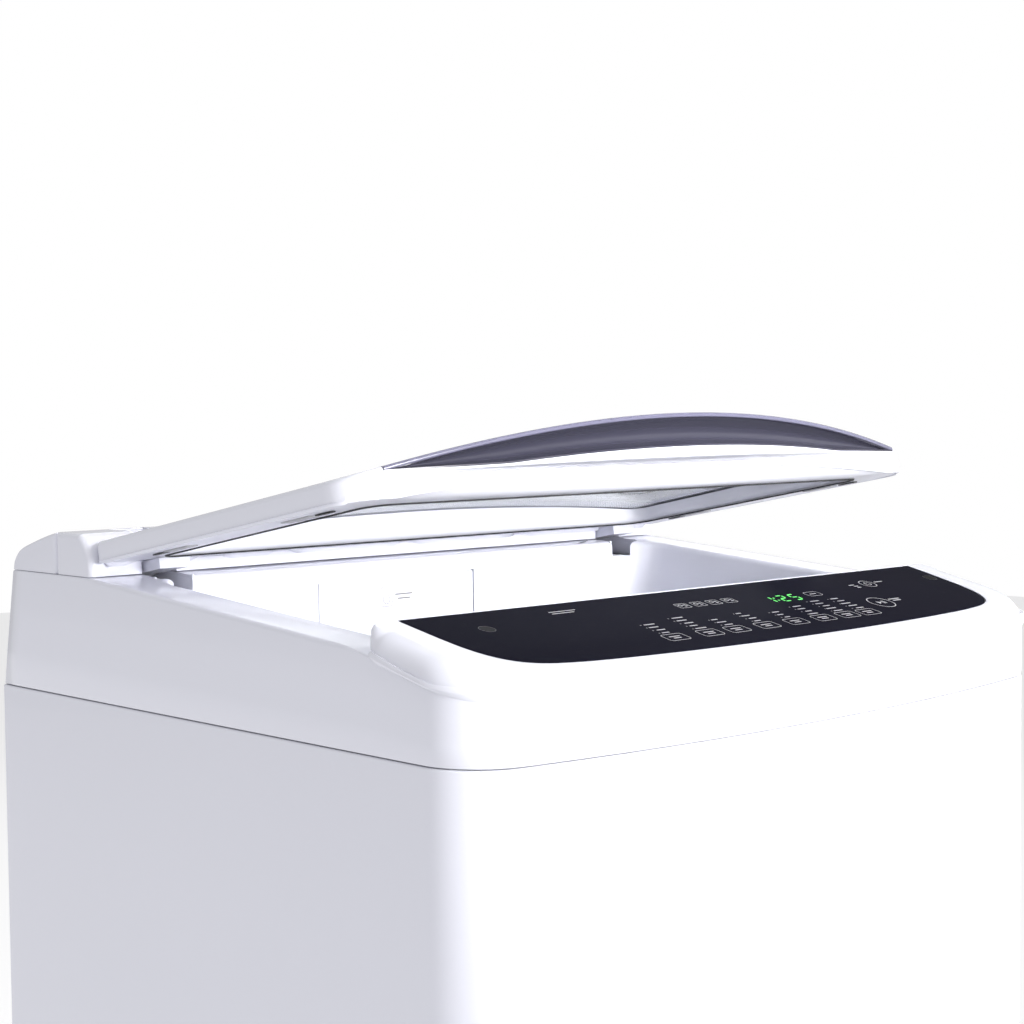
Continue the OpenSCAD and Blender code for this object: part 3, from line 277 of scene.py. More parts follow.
def build(name, parts, angle=38):
    """A mesh object from (vertices in mm, faces) parts, smooth but for edges sharper than angle."""
    verts, faces = [], []
    for v, f in parts:
        base = len(verts)
        verts.extend([tuple(c * MM for c in p) for p in v])
        faces.extend([tuple(base + i for i in face) for face in f])
    mesh = bpy.data.meshes.new(name)
    mesh.from_pydata(verts, [], faces)
    work = bmesh.new()
    work.from_mesh(mesh)
    bmesh.ops.remove_doubles(work, verts=work.verts, dist=2e-6)
    bmesh.ops.dissolve_degenerate(work, edges=work.edges, dist=1e-6)
    bmesh.ops.recalc_face_normals(work, faces=work.faces)
    work.to_mesh(mesh)
    work.free()
    obj = bpy.data.objects.new(name, mesh)
    bpy.context.scene.collection.objects.link(obj)
    soften(obj, angle)
    return obj


def soften(obj, angle=38):
    obj.data.shade_smooth()
    obj.data.set_sharp_from_angle(angle=math.radians(angle))


def loft(rings, closed_ring=True, closed_loft=False, caps=False):
    """Vertices and faces of a skin over rings of points with equal counts."""
    count = len(rings[0])
    verts = np.concatenate([np.asarray(r, float) for r in rings])
    faces = []
    last = len(rings) if closed_loft else len(rings) - 1
    wrap = count if closed_ring else count - 1
    for k in range(last):
        a, b = k * count, ((k + 1) % len(rings)) * count
        for i in range(wrap):
            j = (i + 1) % count
            faces.append((a + i, a + j, b + j, b + i))
    if caps:
        faces.append(tuple(range(count - 1, -1, -1)))
        faces.append(tuple(range((len(rings) - 1) * count, len(rings) * count)))
    return verts, faces


def apply_modifiers(obj):
    bpy.context.view_layer.update()
    graph = bpy.context.evaluated_depsgraph_get()
    mesh = bpy.data.meshes.new_from_object(obj.evaluated_get(graph))
    obj.modifiers.clear()
    old = obj.data
    obj.data = mesh
    bpy.data.meshes.remove(old)


def solidify(obj, thickness, angle=38):
    mod = obj.modifiers.new("wall", "SOLIDIFY")
    mod.thickness = thickness * MM
    mod.offset = -1
    mod.use_even_offset = False
    apply_modifiers(obj)
    soften(obj, angle)


def cut(obj, cutters, angle=38, folded=False):
    """obj with the cutters taken away; folded is for a skin that crosses itself in tight bends."""
    for cutter in cutters:
        mod = obj.modifiers.new("cut", "BOOLEAN")
        mod.operation = "DIFFERENCE"
        mod.solver = "EXACT"
        mod.use_self = folded
        mod.object = cutter
    apply_modifiers(obj)
    for cutter in cutters:
        bpy.data.objects.remove(cutter)
    soften(obj, angle)


def box(x0, y0, z0, x1, y1, z1):
    """A plain box."""
    v = [(x, y, z) for x in (x0, x1) for y in (y0, y1) for z in (z0, z1)]
    return v, [(0, 1, 3, 2), (4, 6, 7, 5), (0, 4, 5, 1), (2, 3, 7, 6), (0, 2, 6, 4), (1, 5, 7, 3)]


def block(name, *corners):
    """A plain cutter."""
    return build(name, [box(*corners)])


def rounded_box(x0, y0, z0, x1, y1, z1, r=1.0):
    """An upright box with round edges and a rolled edge at its foot and its top."""
    steps = [(r * (1 - q), r * (1 - c)) for c, q in turns(0, 91, 30)]
    rings = []
    for inset, z in [(i, z0 + up) for i, up in steps] + [(i, z1 - up) for i, up in steps[::-1]]:
        corner = max(r * 1.6 - inset, 0.05)
        rings.append(level(round_rect(x0 + inset, y0 + inset, x1 - inset, y1 - inset, corner, 4, 1), z))
    return loft(rings, caps=True)


def disc(cx, cy, r0, r1, z0, z1, n=40):
    """A round ring or, with r0 of 0, a round plate, standing on z0."""
    outer, inner = (arc(cx, cy, r, 0, 360, n)[:-1] for r in (r1, r0))
    if r0 <= 0:
        return loft([level(outer, z0), level(outer, z1)], caps=True)
    return loft([level(outer, z0), level(outer, z1), level(inner, z1), level(inner, z0)], closed_loft=True)


def strip(points, width, z0, z1, closed=True):
    """A thin printed line of one width along a path of (x, y) points."""
    points = np.asarray(points, float)
    n = normals(points, closed)
    a = points + n * width / 2
    b = points - n * width / 2
    rings = [level(a, z0), level(a, z1), level(b, z1), level(b, z0)]
    quads = loft(rings, closed_ring=closed, closed_loft=True)
    if not closed:
        c = len(points)
        quads[1].append((0, c, 2 * c, 3 * c))
        quads[1].append((4 * c - 1, 3 * c - 1, 2 * c - 1, c - 1))
    return quads


def moved(part, place):
    """A part with every point put through place(x, y, z)."""
    v, f = part
    return [place(*p) for p in v], f


def at_lid(x, v, h):
    """A point of the lid's flat frame in the machine's frame."""
    c, s = math.cos(LID_ANGLE), math.sin(LID_ANGLE)
    return (x, HINGE_Y - v * c + h * s, HINGE_Z + v * s + h * c)


def on_panel(x, u, t):
    """A point of the panel's plane: u forward from its back edge, t above it."""
    c, s = math.cos(PANEL_SLOPE), math.sin(PANEL_SLOPE)
    return (x, CONSOLE_BACK_Y - u * c - t * s, PANEL_BACK_Z - u * s + t * c)


def finish_piece(obj, body, slot, nodes=(), material=None):
    """Gives a piece its material, its body and the CAD nodes that it stands for."""
    obj.data.materials.clear()
    obj.data.materials.append(FINISH[material or SLOT_FINISH[slot]])
    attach(obj, body)
    if nodes:
        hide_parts(*nodes)
    return obj


def piece(name, parts, body, slot, nodes=(), material=None, angle=38):
    """A finished piece made of (vertices, faces) parts as they are."""
    return finish_piece(build(name, parts, angle), body, slot, nodes, material)


# Finishes


def group(name, inputs, outputs):
    """A shader node group with the sockets that bring its inputs and take its outputs."""
    tree = bpy.data.node_groups.new(name, "ShaderNodeTree")
    for label, kind, value in inputs:
        s = tree.interface.new_socket(name=label, in_out="INPUT", socket_type="NodeSocket" + kind)
        if value is not None:
            s.default_value = value
    for label, kind in outputs:
        tree.interface.new_socket(name=label, in_out="OUTPUT", socket_type="NodeSocket" + kind)
    return tree, tree.nodes.new("NodeGroupInput").outputs, tree.nodes.new("NodeGroupOutput").inputs


def node(tree, kind, values=None, **settings):
    """A shader node whose inputs take plain values or the outputs of other nodes."""
    n = tree.nodes.new("ShaderNode" + kind)
    for k, v in settings.items():
        setattr(n, k, v)
    for k, v in (values or {}).items():
        if isinstance(v, bpy.types.NodeSocket):
            tree.links.new(v, n.inputs[k])
        else:
            n.inputs[k].default_value = v
    return n


def calc(tree, operation, a, b, kind="Math", **settings):
    """The first output of a sum or product of a and b."""
    return node(tree, kind, {0: a, 1: b}, operation=operation, **settings).outputs[0]


def noise(tree, place, scale, detail, roughness):
    values = {"Vector": place, "Scale": scale, "Detail": detail, "Roughness": roughness}
    return node(tree, "TexNoise", values).outputs["Fac"]


def give(tree, out, colour, roughness, height, strength, distance):
    """Joins a group's colour, roughness and bumped normal to its outputs."""
    bump = node(tree, "Bump", {"Height": height, "Strength": strength, "Distance": distance})
    for label, socket in (("Color", colour), ("Roughness", roughness), ("Normal", bump.outputs["Normal"])):
        tree.links.new(socket, out[label])
    return tree


SURFACE_OUTPUTS = [("Color", "Color"), ("Roughness", "Float"), ("Normal", "Vector")]


def moulded_group():
    """Fine grain, slow tone drift and faint dust of a painted or moulded surface."""
    tree, given, out = group("moulded_surface", [
        ("Vector", "Vector", None), ("Color", "Color", (0.8, 0.8, 0.8, 1)), ("Grain Size", "Float", 900.0),
        ("Grain Depth", "Float", 0.02), ("Tone Drift", "Float", 0.02), ("Roughness", "Float", 0.3),
        ("Roughness Spread", "Float", 0.04), ("Dust", "Float", 0.03)], SURFACE_OUTPUTS)
    place = given["Vector"]
    drift = calc(tree, "SUBTRACT", noise(tree, place, 6.0, 3.0, 0.55), 0.5)
    value = calc(tree, "ADD", calc(tree, "MULTIPLY", drift, given["Tone Drift"]), 1.0)
    tone = node(tree, "HueSaturation", {"Color": given["Color"], "Value": value})
    up = node(tree, "SeparateXYZ", {0: node(tree, "NewGeometry").outputs["Normal"]})
    lying = node(tree, "MapRange", {"Value": up.outputs["Z"], "From Min": 0.5, "From Max": 1.0})
    specks = noise(tree, place, 260.0, 4.0, 0.7)
    some = node(tree, "MapRange", {"Value": specks, "From Min": 0.55, "From Max": 0.8})
    dust = calc(tree, "MULTIPLY", lying.outputs[0], some.outputs[0])
    dust = calc(tree, "MULTIPLY", dust, given["Dust"])
    values = {"Factor": dust, "A": tone.outputs["Color"], "B": (0.62, 0.61, 0.60, 1)}
    dusted = node(tree, "Mix", values, data_type="RGBA").outputs["Result"]
    spread = calc(tree, "MULTIPLY", drift, given["Roughness Spread"])
    rough = calc(tree, "ADD", calc(tree, "ADD", spread, given["Roughness"]), dust, use_clamp=True)
    grain = noise(tree, place, given["Grain Size"], 2.0, 0.5)
    return give(tree, out, dusted, rough, grain, given["Grain Depth"], 0.0003)


def brushed_group():
    """Long fine scratches along one direction, with stains, for drawn or brushed metal."""
    tree, given, out = group("brushed_surface", [
        ("Vector", "Vector", None), ("Color", "Color", (0.7, 0.7, 0.7, 1)),
        ("Stretch", "Vector", (20.0, 20.0, 900.0)), ("Depth", "Float", 0.08), ("Roughness", "Float", 0.3),
        ("Stain", "Float", 0.12)], SURFACE_OUTPUTS)
    stretched = calc(tree, "MULTIPLY", given["Vector"], given["Stretch"], "VectorMath")
    scratches = noise(tree, stretched, 1.0, 5.0, 0.6)
    stains = calc(tree, "MULTIPLY", noise(tree, given["Vector"], 14.0, 4.0, 0.6), given["Stain"])
    values = {"Color": given["Color"], "Value": calc(tree, "SUBTRACT", 1.05, stains)}
    tone = node(tree, "HueSaturation", values).outputs["Color"]
    spread = calc(tree, "MULTIPLY", scratches, 0.25)
    rough = calc(tree, "ADD", spread, given["Roughness"], use_clamp=True)
    return give(tree, out, tone, rough, scratches, given["Depth"], 0.0002)


def dots_group():
    """A mask of round printed dots on a square grid."""
    tree, given, out = group("printed_dots", [
        ("Vector", "Vector", None), ("Pitch", "Float", 450.0), ("Size", "Float", 0.34)], [("Mask", "Float")])
    scaled = node(tree, "VectorMath", {0: given["Vector"], "Scale": given["Pitch"]}, operation="SCALE")
    cell = node(tree, "VectorMath", {0: scaled.outputs[0]}, operation="FRACTION").outputs[0]
    centred = calc(tree, "SUBTRACT", cell, (0.5, 0.5, 0.5), "VectorMath")
    flat = calc(tree, "MULTIPLY", centred, (1.0, 1.0, 0.0), "VectorMath")
    far = node(tree, "VectorMath", {0: flat}, operation="LENGTH").outputs["Value"]
    tree.links.new(calc(tree, "LESS_THAN", far, given["Size"]), out["Mask"])
    return tree


def material(name, effect, values, metallic=0.0, coat=0.0, sockets=None, mask=None):
    """A material whose colour, roughness and normal come from one of the shared groups."""
    mat = bpy.data.materials.new(name)
    mat.use_nodes = True
    tree = mat.node_tree
    tree.nodes.clear()
    place = node(tree, "TexCoord").outputs["Object"]
    surface = node(tree, "Group", None, node_tree=effect)
    tree.links.new(place, surface.inputs["Vector"])
    for k, v in values.items():
        surface.inputs[k].default_value = v
    shader = node(tree, "BsdfPrincipled", {
        "Base Color": surface.outputs["Color"], "Roughness": surface.outputs["Roughness"],
        "Normal": surface.outputs["Normal"], "Metallic": metallic, "Coat Weight": coat})
    for k, v in (sockets or {}).items():
        shader.inputs[k].default_value = v
    if mask:
        spots = node(tree, "Group", None, node_tree=mask)
        tree.links.new(place, spots.inputs["Vector"])
        tree.links.new(spots.outputs["Mask"], shader.inputs["Alpha"])
    node(tree, "OutputMaterial", {"Surface": shader.outputs["BSDF"]})
    FINISH[name] = mat


def make_finishes():
    """Every material, from the colours in the panel."""
    c = bpy.context.scene.washer_colours
    skin, metal = moulded_group(), brushed_group()

    def rgba(value, gain=1.0):
        return tuple(min(1.0, v * gain) for v in value) + (1.0,)

    def moulded(name, colour, *amounts, **more):
        labels = ("Roughness", "Grain Size", "Grain Depth", "Tone Drift", "Roughness Spread", "Dust")
        material(name, skin, {"Color": colour, **dict(zip(labels, amounts))}, **more)

    def brushed(name, colour, rough, stretch, depth, stain):
        values = {"Color": colour, "Roughness": rough, "Stretch": stretch, "Depth": depth, "Stain": stain}
        material(name, metal, values, metallic=1.0)

    ink = (3000.0, 0.05, 0.10, 0.05, 0.0)
    moulded("enamel", rgba(c.body), 0.30, 340.0, 0.10, 0.02, 0.05, 0.02, coat=0.35)
    moulded("gloss_white", rgba(c.body), 0.20, 700.0, 0.02, 0.02, 0.04, 0.03, coat=0.25)
    moulded("satin_white", rgba(c.inner), 0.42, 1400.0, 0.10, 0.04, 0.08, 0.03)
    moulded("panel_black", rgba(c.panel), 0.14, 1200.0, 0.01, 0.10, 0.04, 0.004,
            sockets={"Specular IOR Level": 0.001})
    moulded("print_grey", (0.42, 0.42, 0.44, 1), 0.45, *ink)
    moulded("print_dim", (0.16, 0.16, 0.17, 1), 0.45, *ink)
    moulded("print_black", (0.004, 0.004, 0.005, 1), 0.30, *ink, sockets={"Specular IOR Level": 0.01})
    moulded("smoke", rgba(c.trim), 0.12, 900.0, 0.01, 0.06, 0.03, 0.02, coat=0.5)
    # The trim's smoke plastic made 3.2 times lighter: a painted highlight along the lid trim's upper lip
    moulded("smoke_rim_highlight", rgba(c.trim, 3.2), 0.18, 900.0, 0.01, 0.06, 0.03, 0.02, coat=0.5)
    moulded("rubber", (0.028, 0.028, 0.030, 1), 0.62, 1600.0, 0.25, 0.15, 0.12, 0.05)
    moulded("grey_plastic", (0.20, 0.205, 0.22, 1), 0.46, 1300.0, 0.18, 0.08, 0.08, 0.05)
    moulded("blue_plastic", (0.48, 0.58, 0.74, 1), 0.36, 1300.0, 0.10, 0.05, 0.08, 0.03)
    moulded("hose_grey", (0.30, 0.31, 0.33, 1), 0.50, 1500.0, 0.2, 0.08, 0.08, 0.06)
    moulded("board_green", (0.012, 0.085, 0.040, 1), 0.34, 2400.0, 0.3, 0.25, 0.10, 0.03)
    moulded("display_black", (0.02, 0.02, 0.022, 1), 0.22, 1500.0, 0.02, 0.10, 0.05, 0.02)
    moulded("winding", (0.42, 0.16, 0.06, 1), 0.34, 2200.0, 0.5, 0.30, 0.15, 0.02, metallic=0.85)
    moulded("cast_alloy", (0.46, 0.46, 0.48, 1), 0.44, 1500.0, 0.45, 0.14, 0.15, 0.04, metallic=0.95)
    brushed("galvanised", (0.50, 0.51, 0.53, 1), 0.34, (40.0, 40.0, 60.0), 0.12, 0.35)
    brushed("stainless", (0.60, 0.60, 0.61, 1), 0.16, (30.0, 30.0, 1200.0), 0.06, 0.08)
    brushed("turned_steel", (0.58, 0.58, 0.59, 1), 0.20, (60.0, 60.0, 2400.0), 0.10, 0.15)
    moulded("lid_glass", (0.90, 0.93, 0.97, 1), 0.03, 900.0, 0.004, 0.02, 0.02, 0.0,
            sockets={"Transmission Weight": 1.0, "IOR": 1.45})
    moulded("glass_print", (0.86, 0.87, 0.90, 1), 0.35, 1500.0, 0.05, 0.04, 0.05, 0.0, mask=dots_group())
    moulded("display_green", (0.03, 0.20, 0.03, 1), 0.4, 2000.0, 0.0, 0.1, 0.05, 0.0,
            sockets={"Emission Color": (0.10, 0.85, 0.12, 1), "Emission Strength": 1.0})
    moulded("studio_floor", (0.90, 0.90, 0.91, 1), 0.75, 260.0, 0.05, 0.01, 0.05, 0.0,
            sockets={"Emission Color": (1.0, 1.0, 1.0, 1), "Emission Strength": 0.3})


SLOT_FINISH = {
    "painted_steel": "enamel",
    "galvanised_steel": "galvanised",
    "white_plastic": "gloss_white",
    "satin_white_plastic": "satin_white",
    "panel_glass": "panel_black",
    "lid_glass": "lid_glass",
    "smoke_plastic": "smoke",
    "rubber": "rubber",
    "grey_plastic": "grey_plastic",
    "blue_plastic": "blue_plastic",
    "stainless": "stainless",
    "cast_alloy": "cast_alloy",
    "winding": "winding",
    "circuit_board": "board_green",
    "display_plastic": "display_black",
}


# Cabinet


def swept(rings):
    """A closed skin over open outlines that follow a closed profile, with both ends filled."""
    verts, faces = loft(rings, closed_ring=False, closed_loft=True)
    count = len(rings[0])
    faces.append(tuple(k * count for k in range(len(rings))))
    faces.append(tuple(k * count + count - 1 for k in range(len(rings) - 1, -1, -1)))
    return verts, faces


def wrap_outline(inset):
    """The sheet's plan, with both of its back edges folded in."""
    r = max(3 - inset, 0.3)
    fold = HALF_W - 20
    corner = arc(HALF_W - inset - r, BACK_Y - inset - r, r, 90, 0, 5)
    start = line((fold, BACK_Y - inset), corner[0], 3)
    side = body_outline(inset, corner[-1][1])[1:-1]
    right = np.concatenate([start, corner])
    return np.concatenate([right, side, right[::-1] * [-1, 1]])


def make_cabinet():
    roll = bpy.context.scene.washer_sizes.sheet_roll / MM
    sheet, flange = 0.9, 14.0
    top, low = SEAM_Z, BASE_Z
    bend = [(roll * (1 - c), roll * (1 - q)) for c, q in turns(0, 91, 15)]
    profile = [(flange, top)] + [(i, top - d) for i, d in bend[::-1]]
    profile += [(0.0, z) for z in np.linspace(top - roll, low + roll, 8)[1:-1]]
    profile += [(i, low + d) for i, d in bend] + [(flange, low)]
    profile += [(flange, low + sheet)] + [(max(i, sheet), low + max(d, sheet)) for i, d in bend[::-1]]
    profile += [(max(i, sheet), top - max(d, sheet)) for i, d in bend] + [(flange, top - sheet)]
    rings, last = [], (0.0, 0.0)
    for inset, z in profile:
        if abs(inset - last[0]) + abs(z - last[1]) > 1e-6:
            rings.append(level(wrap_outline(inset), z))
            last = (inset, z)
    piece("cabinet_wall", [swept(rings)], "cabinet", "painted_steel", ["cabinet_wrap"], angle=50)


# Top cover


def lean_back(p):
    """Tilts the back wall of the top cover forward with height."""
    p = p.copy()
    rise = np.clip((p[:, 2] - SEAM_Z - 4) / (REAR_Z - SEAM_Z - 4), 0, 1)
    share = np.clip((p[:, 1] - 150) / (BACK_Y - 150), 0, 1)
    p[:, 1] -= 17 * rise * share
    return p


def orient(obj, ref):
    """Turns the mesh inside out if its faces look towards ref on the whole."""
    ref = Vector(c * MM for c in ref)
    total = sum(f.normal.dot(f.center - ref) * f.area for f in obj.data.polygons)
    if total < 0:
        obj.data.flip_normals()


def make_top_cover():
    s = bpy.context.scene.washer_sizes
    well = round_rect(-WELL_X, WELL_Y0, WELL_X, WELL_Y1, WELL_R, 14, 20)
    po, pi = paired(closed_outline(BACK_Y, 6.0, 5, 30), well, np.array([0.0, -33.0]))
    no, ni = normals(po), normals(pi)
    y = po[:, 1]
    shoulder = mix(1.2, s.deck_edge / MM, smooth(-176, -150, y) * (1 - smooth(122, 146, y)))
    rim = s.well_rim / MM
    rings = []

    def ring(p, z):
        rings.append(lean_back(level(p, z)))

    foot = SEAM_Z + 1.2
    ring(po - no * 0.5, SEAM_Z + 0.7)
    ring(po, foot)
    for t in (0.3, 0.6, 1.0):
        ring(po, mix(foot, cover_z(y) - shoulder, t))
    for c, q in turns(15, 91, 15):
        p = po - no * (shoulder * (1 - c))[:, None]
        ring(p, cover_z(p[:, 1]) - shoulder * (1 - q))
    last = rings[-1][:, :2]
    edge = pi + ni * rim
    for t in (0.33, 0.66, 1.0):
        p = mix(last, edge, t)
        ring(p, cover_z(p[:, 1]))
    wall_top = cover_z(edge[:, 1]) - rim
    for c, q in turns(15, 91, 15):
        ring(pi + ni * rim * (1 - q), wall_top + rim * c)

    # Wall of the well, bend and bowl down to the round mouth
    inward = np.array([0.0, TUB_Y]) - pi
    rho = np.linalg.norm(inward, axis=1)
    inward = inward / rho[:, None]
    reach = rho - np.minimum(MOUTH_R, rho - 4)
    slope = 1 / 1.092
    foot = WELL_Z + reach * slope
    bend = np.minimum(s.bowl_bend / MM, 0.7 * reach)
    start = 0.74 * bend

    def bowl(w, z):
        ring(pi + inward * w[:, None], z)

    for t in (0.25, 0.5, 0.75, 1.0):
        ring(pi, mix(wall_top, foot + bend, t))
    for t in np.arange(1, 7) / 6:
        z = (1 - t) ** 2 * (foot + bend) + 2 * t * (1 - t) * foot + t * t * (foot - start * slope)
        bowl(t * t * start, z)
    for t in (0.33, 0.66, 1.0):
        w = mix(start, reach, t)
        bowl(w, foot - w * slope)
    for w, d in ((0.8, 1.4), (1.0, 3.0), (1.0, 6.0)):
        bowl(reach + w, WELL_Z - d)
    cover = build("top_cover_shell", [loft(rings)], 50)
    orient(cover, (0, TUB_Y, 300))
    solidify(cover, 2.5, 50)

    cutters = [block("drawer_gap", DRAWER_X0 - 1, WELL_Y1 - 3, DRAWER_Z0 - 1, DRAWER_X1 + 1, WELL_Y1 + 6,
                     DRAWER_Z1 + 1)]
    for x in (-ARM_X, ARM_X):
        cutters.append(block("arm_gap", x - ARM_GAP, WELL_Y1 - 4, 914, x + ARM_GAP, HINGE_Y + 13, 940))
    for x in (HALF_W * 0.65 - 22.5, HALF_W * 0.65 + 22.5):
        plan = arc(x, 890, 12.2, 0, 350, 35)
        hole = [np.insert(plan, 1, y, axis=1) for y in (225, 262)]
        cutters.append(build("spigot_gap", [loft(hole, caps=True)]))
    cut(cover, cutters, angle=50)
    finish_piece(cover, "cabinet", "white_plastic", ["top_cover"])
    parts = []
    y0, y1 = WELL_Y1 + 0.5, HINGE_Y + 15
    floor_z, top_z, wall = 913.8, 927.6, 1.8
    for x in (-ARM_X, ARM_X):
        a, b = x - ARM_GAP - 2, x + ARM_GAP + 2
        parts.append(rounded_box(a, y0, 911.6, b, y1, floor_z, 0.4))
        for x0, near, x1 in ((a, y0, a + wall), (b - wall, y0, b), (a, y1 - wall, b)):
            parts.append(rounded_box(x0, near, floor_z, x1, y1, top_z, 0.4))
    piece("hinge_pockets", parts, "cabinet", "white_plastic")


# Rear covers


def drawn_in(points, d):
    """A closed side profile (y, z) drawn in by d towards its middle, its foot kept at its height."""
    p = np.asarray(points, float)
    lo, hi = p.min(0), p.max(0)
    half = (hi - lo) / 2
    centre = np.array([(lo[0] + hi[0]) / 2, lo[1]])
    return centre + (p - centre) * (1 - d / np.array([half[0], 2 * half[1]]))


def soft_corners(points, radius, n=5):
    """A closed profile with each sharp corner rounded to the given radius."""
    p = np.asarray(points, float)
    out = []
    count = len(p)
    for k in range(count):
        a, b, c = p[k - 1], p[k], p[(k + 1) % count]
        u, w = a - b, c - b
        lu, lw = np.linalg.norm(u), np.linalg.norm(w)
        u, w = u / lu, w / lw
        turn = math.acos(np.clip(-u @ w, -1, 1))
        if turn < math.radians(25):
            out.append(b)
            continue
        reach = min(radius * math.tan(turn / 2), lu * 0.45, lw * 0.45)
        for t in np.linspace(0, 1, n):
            out.append((1 - t) ** 2 * (b + u * reach) + 2 * t * (1 - t) * b + t * t * (b + w * reach))
    return np.array(out)


def end_rolled(profile, half, r):
    """A side profile (y, z) drawn out across x with both of its ends rolled over."""
    rings = []
    for side in (-1, 1):
        for c, q in turns(0, 91, 15)[::side]:
            p = drawn_in(profile, r * (1 - c))
            rings.append(np.column_stack([np.full(len(p), side * (half - r * (1 - q))), p]))
    return loft(rings, caps=True)


def spline(points, per=6):
    """A smooth open curve through the points."""
    p = np.asarray(points, float)
    p = np.concatenate([[2 * p[0] - p[1]], p, [2 * p[-1] - p[-2]]])
    out = []
    for k in range(1, len(p) - 2):
        a, b, c, d = p[k - 1:k + 3]
        for t in np.linspace(0, 1, per, endpoint=False):
            curve = (2 * a - 5 * b + 4 * c - d) * t * t + (3 * b - a - 3 * c + d) * t**3
            out.append(0.5 * (2 * b + (c - a) * t + curve))
    out.append(p[-2])
    return np.array(out)


def make_rear_covers():
    end_roll = bpy.context.scene.washer_sizes.cover_end_roll / MM
    split, foot = HINGE_Y + 15, REAR_Z + 0.4
    back = spline([(240, foot), (237.5, 936.5), (229, 944.4), (213, 950), (190, 956.4),
                   (split + 0.1, COVER_TOP_Z)])
    profile = soft_corners(np.concatenate([back, [(split + 0.1, foot)]]), 0.4)
    rolled = end_rolled(profile, HALF_W - 1, end_roll)
    piece("rear_cover_shell", [rolled], "cabinet", "white_plastic", ["rear_cover"])
    nose_r = 32.5
    a0 = 180 - math.degrees(math.asin((COVER_TOP_Z - HINGE_Z) / nose_r))
    a1 = 180 + math.degrees(math.asin((HINGE_Z - foot) / nose_r))
    nose = arc(HINGE_Y, HINGE_Z, nose_r, a0, a1, 18)
    profile = soft_corners(np.concatenate([[(split, foot), (split, COVER_TOP_Z)], nose]), 0.4)
    hood = build("hinge_hood", [end_rolled(profile, HALF_W - 1, end_roll)])
    y0, y1 = HINGE_Y - 44, HINGE_Y + 12
    cut(hood, [block("arm_slot", x - ARM_GAP, y0, 920, x + ARM_GAP, y1, 970) for x in (-ARM_X, ARM_X)])
    finish_piece(hood, "cabinet", "white_plastic", ["hinge_cover"])


# Console


PANEL_HALF = [(263.2, 1.6), (261.8, 22), (260.2, 42), (257.6, 60), (252.4, 76), (243.5, 88), (231, 95.6),
              (213, 100.2), (180, 104.0), (120, 107.4), (60, 109.2), (0, 109.8)]


def panel_outline(grow):
    """The panel's plan on its own plane, as (x, -u), anticlockwise, its corners at the back sharp."""
    right = spline([(x, -u) for x, u in PANEL_HALF], 5)
    left = right[::-1][1:] * [-1, 1]
    pts = np.concatenate([right, left, line(left[-1], right[0], 40)[1:]])[::-1]
    return pts + normals(pts) * grow


def make_console():
    s = bpy.context.scene.washer_sizes
    hole = panel_outline(0.9)
    hole[:, 1] = np.minimum(CONSOLE_BACK_Y + hole[:, 1] * math.cos(PANEL_SLOPE), CONSOLE_BACK_Y - 1.5)
    po, pi = paired(closed_outline(CONSOLE_BACK_Y, 22.0, 24, 60), hole, np.array([0.0, -230.0]))
    no, ni = normals(po), normals(pi)
    r = mix(s.console_shoulder / MM, 0.6, smooth(0.35, 0.999, no[:, 1]))
    r = np.minimum(r, 0.8 * np.sum((po - pi) * no, 1))
    outer_z = panel_z(po[:, 1])
    low = cover_z(np.minimum(po[:, 1], -176.0)) + 1.0
    rings = [level(po - no * 3.0, low + 0.2), level(po - no * 0.7, low), level(po, low + 0.7)]
    for t in (0.35, 0.7, 1.0):
        rings.append(level(po, mix(low + 0.7, outer_z - r, t)))
    for c, q in turns(10, 91, 10):
        p = po - no * (r * (1 - c))[:, None]
        rings.append(level(p, mix(outer_z, panel_z(p[:, 1]), q) - r * (1 - q)))
    last = rings[-1][:, :2]
    for t in (0.4, 0.8, 1.0):
        p = mix(last, pi + ni * 0.3, t)
        rings.append(level(p, panel_z(p[:, 1])))
    inner_z = panel_z(pi[:, 1])
    rings += [level(pi + ni * 0.1, inner_z - 0.1), level(pi, inner_z - 0.5), level(pi, inner_z - 2.4)]
    housing = build("console_shell", [loft(rings)], 60)
    orient(housing, (0, -230, 700))
    solidify(housing, 2.2, 60)
    finish_piece(housing, "cabinet", "white_plastic", ["console_housing"])


def make_panel():
    rings = []
    for inset, t in ((0.0, -2.0), (0.0, -0.5), (0.15, -0.18), (0.5, -0.02), (1.6, 0.0)):
        rings.append(np.array([on_panel(x, -u, t) for x, u in panel_outline(-inset)]))
    face = loft(rings, caps=True)
    piece("control_panel_face", [face], "cabinet", "panel_glass", ["control_panel"], angle=60)


def key_frame(x, u, w, d, line_width, r=2.4):
    """The printed frame of a key whose middle is at x, u."""
    plan = round_rect(x - w / 2, -u - d / 2, x + w / 2, -u + d / 2, r, 5, 3)
    return strip(plan, line_width, PRINT_LOW, PRINT_TOP)


def on_print(part):
    return moved(part, lambda x, y, t: on_panel(x, -y, t))


def bar(x, u, w, d, z0=PRINT_LOW, z1=PRINT_TOP):
    """A small printed bar whose middle is at x, u."""
    return box(x - w / 2, -u - d / 2, z0, x + w / 2, -u + d / 2, z1)


# x, number of option lines and their width, for the keys of the front row
KEY_COLUMNS = ((-99, 4, 0.9), (-66, 5, 1.0), (-39, 3, 0.8), (-8, 4, 0.7), (23, 3, 0.7), (53, 4, 0.9),
               (80, 5, 1.0), (104, 5, 1.0))
MARKS = [(98, 38, 7, 1.1), (140.0, 69.8, 0.9, 5.2), (142.0, 69.8, 0.9, 5.2), (173, 28.2, 0.5, 3.2),
         (158, 66, 13, 1.2), (158, 69.2, 9, 1.2), (188, 29, 10, 1.2), (156, 33, 5, 1.2), (156, 36, 4, 1.2),
         (154, 30, 6, 1.2), (-137, 17, 24, 0.9), (-139, 20.4, 20, 0.9)]


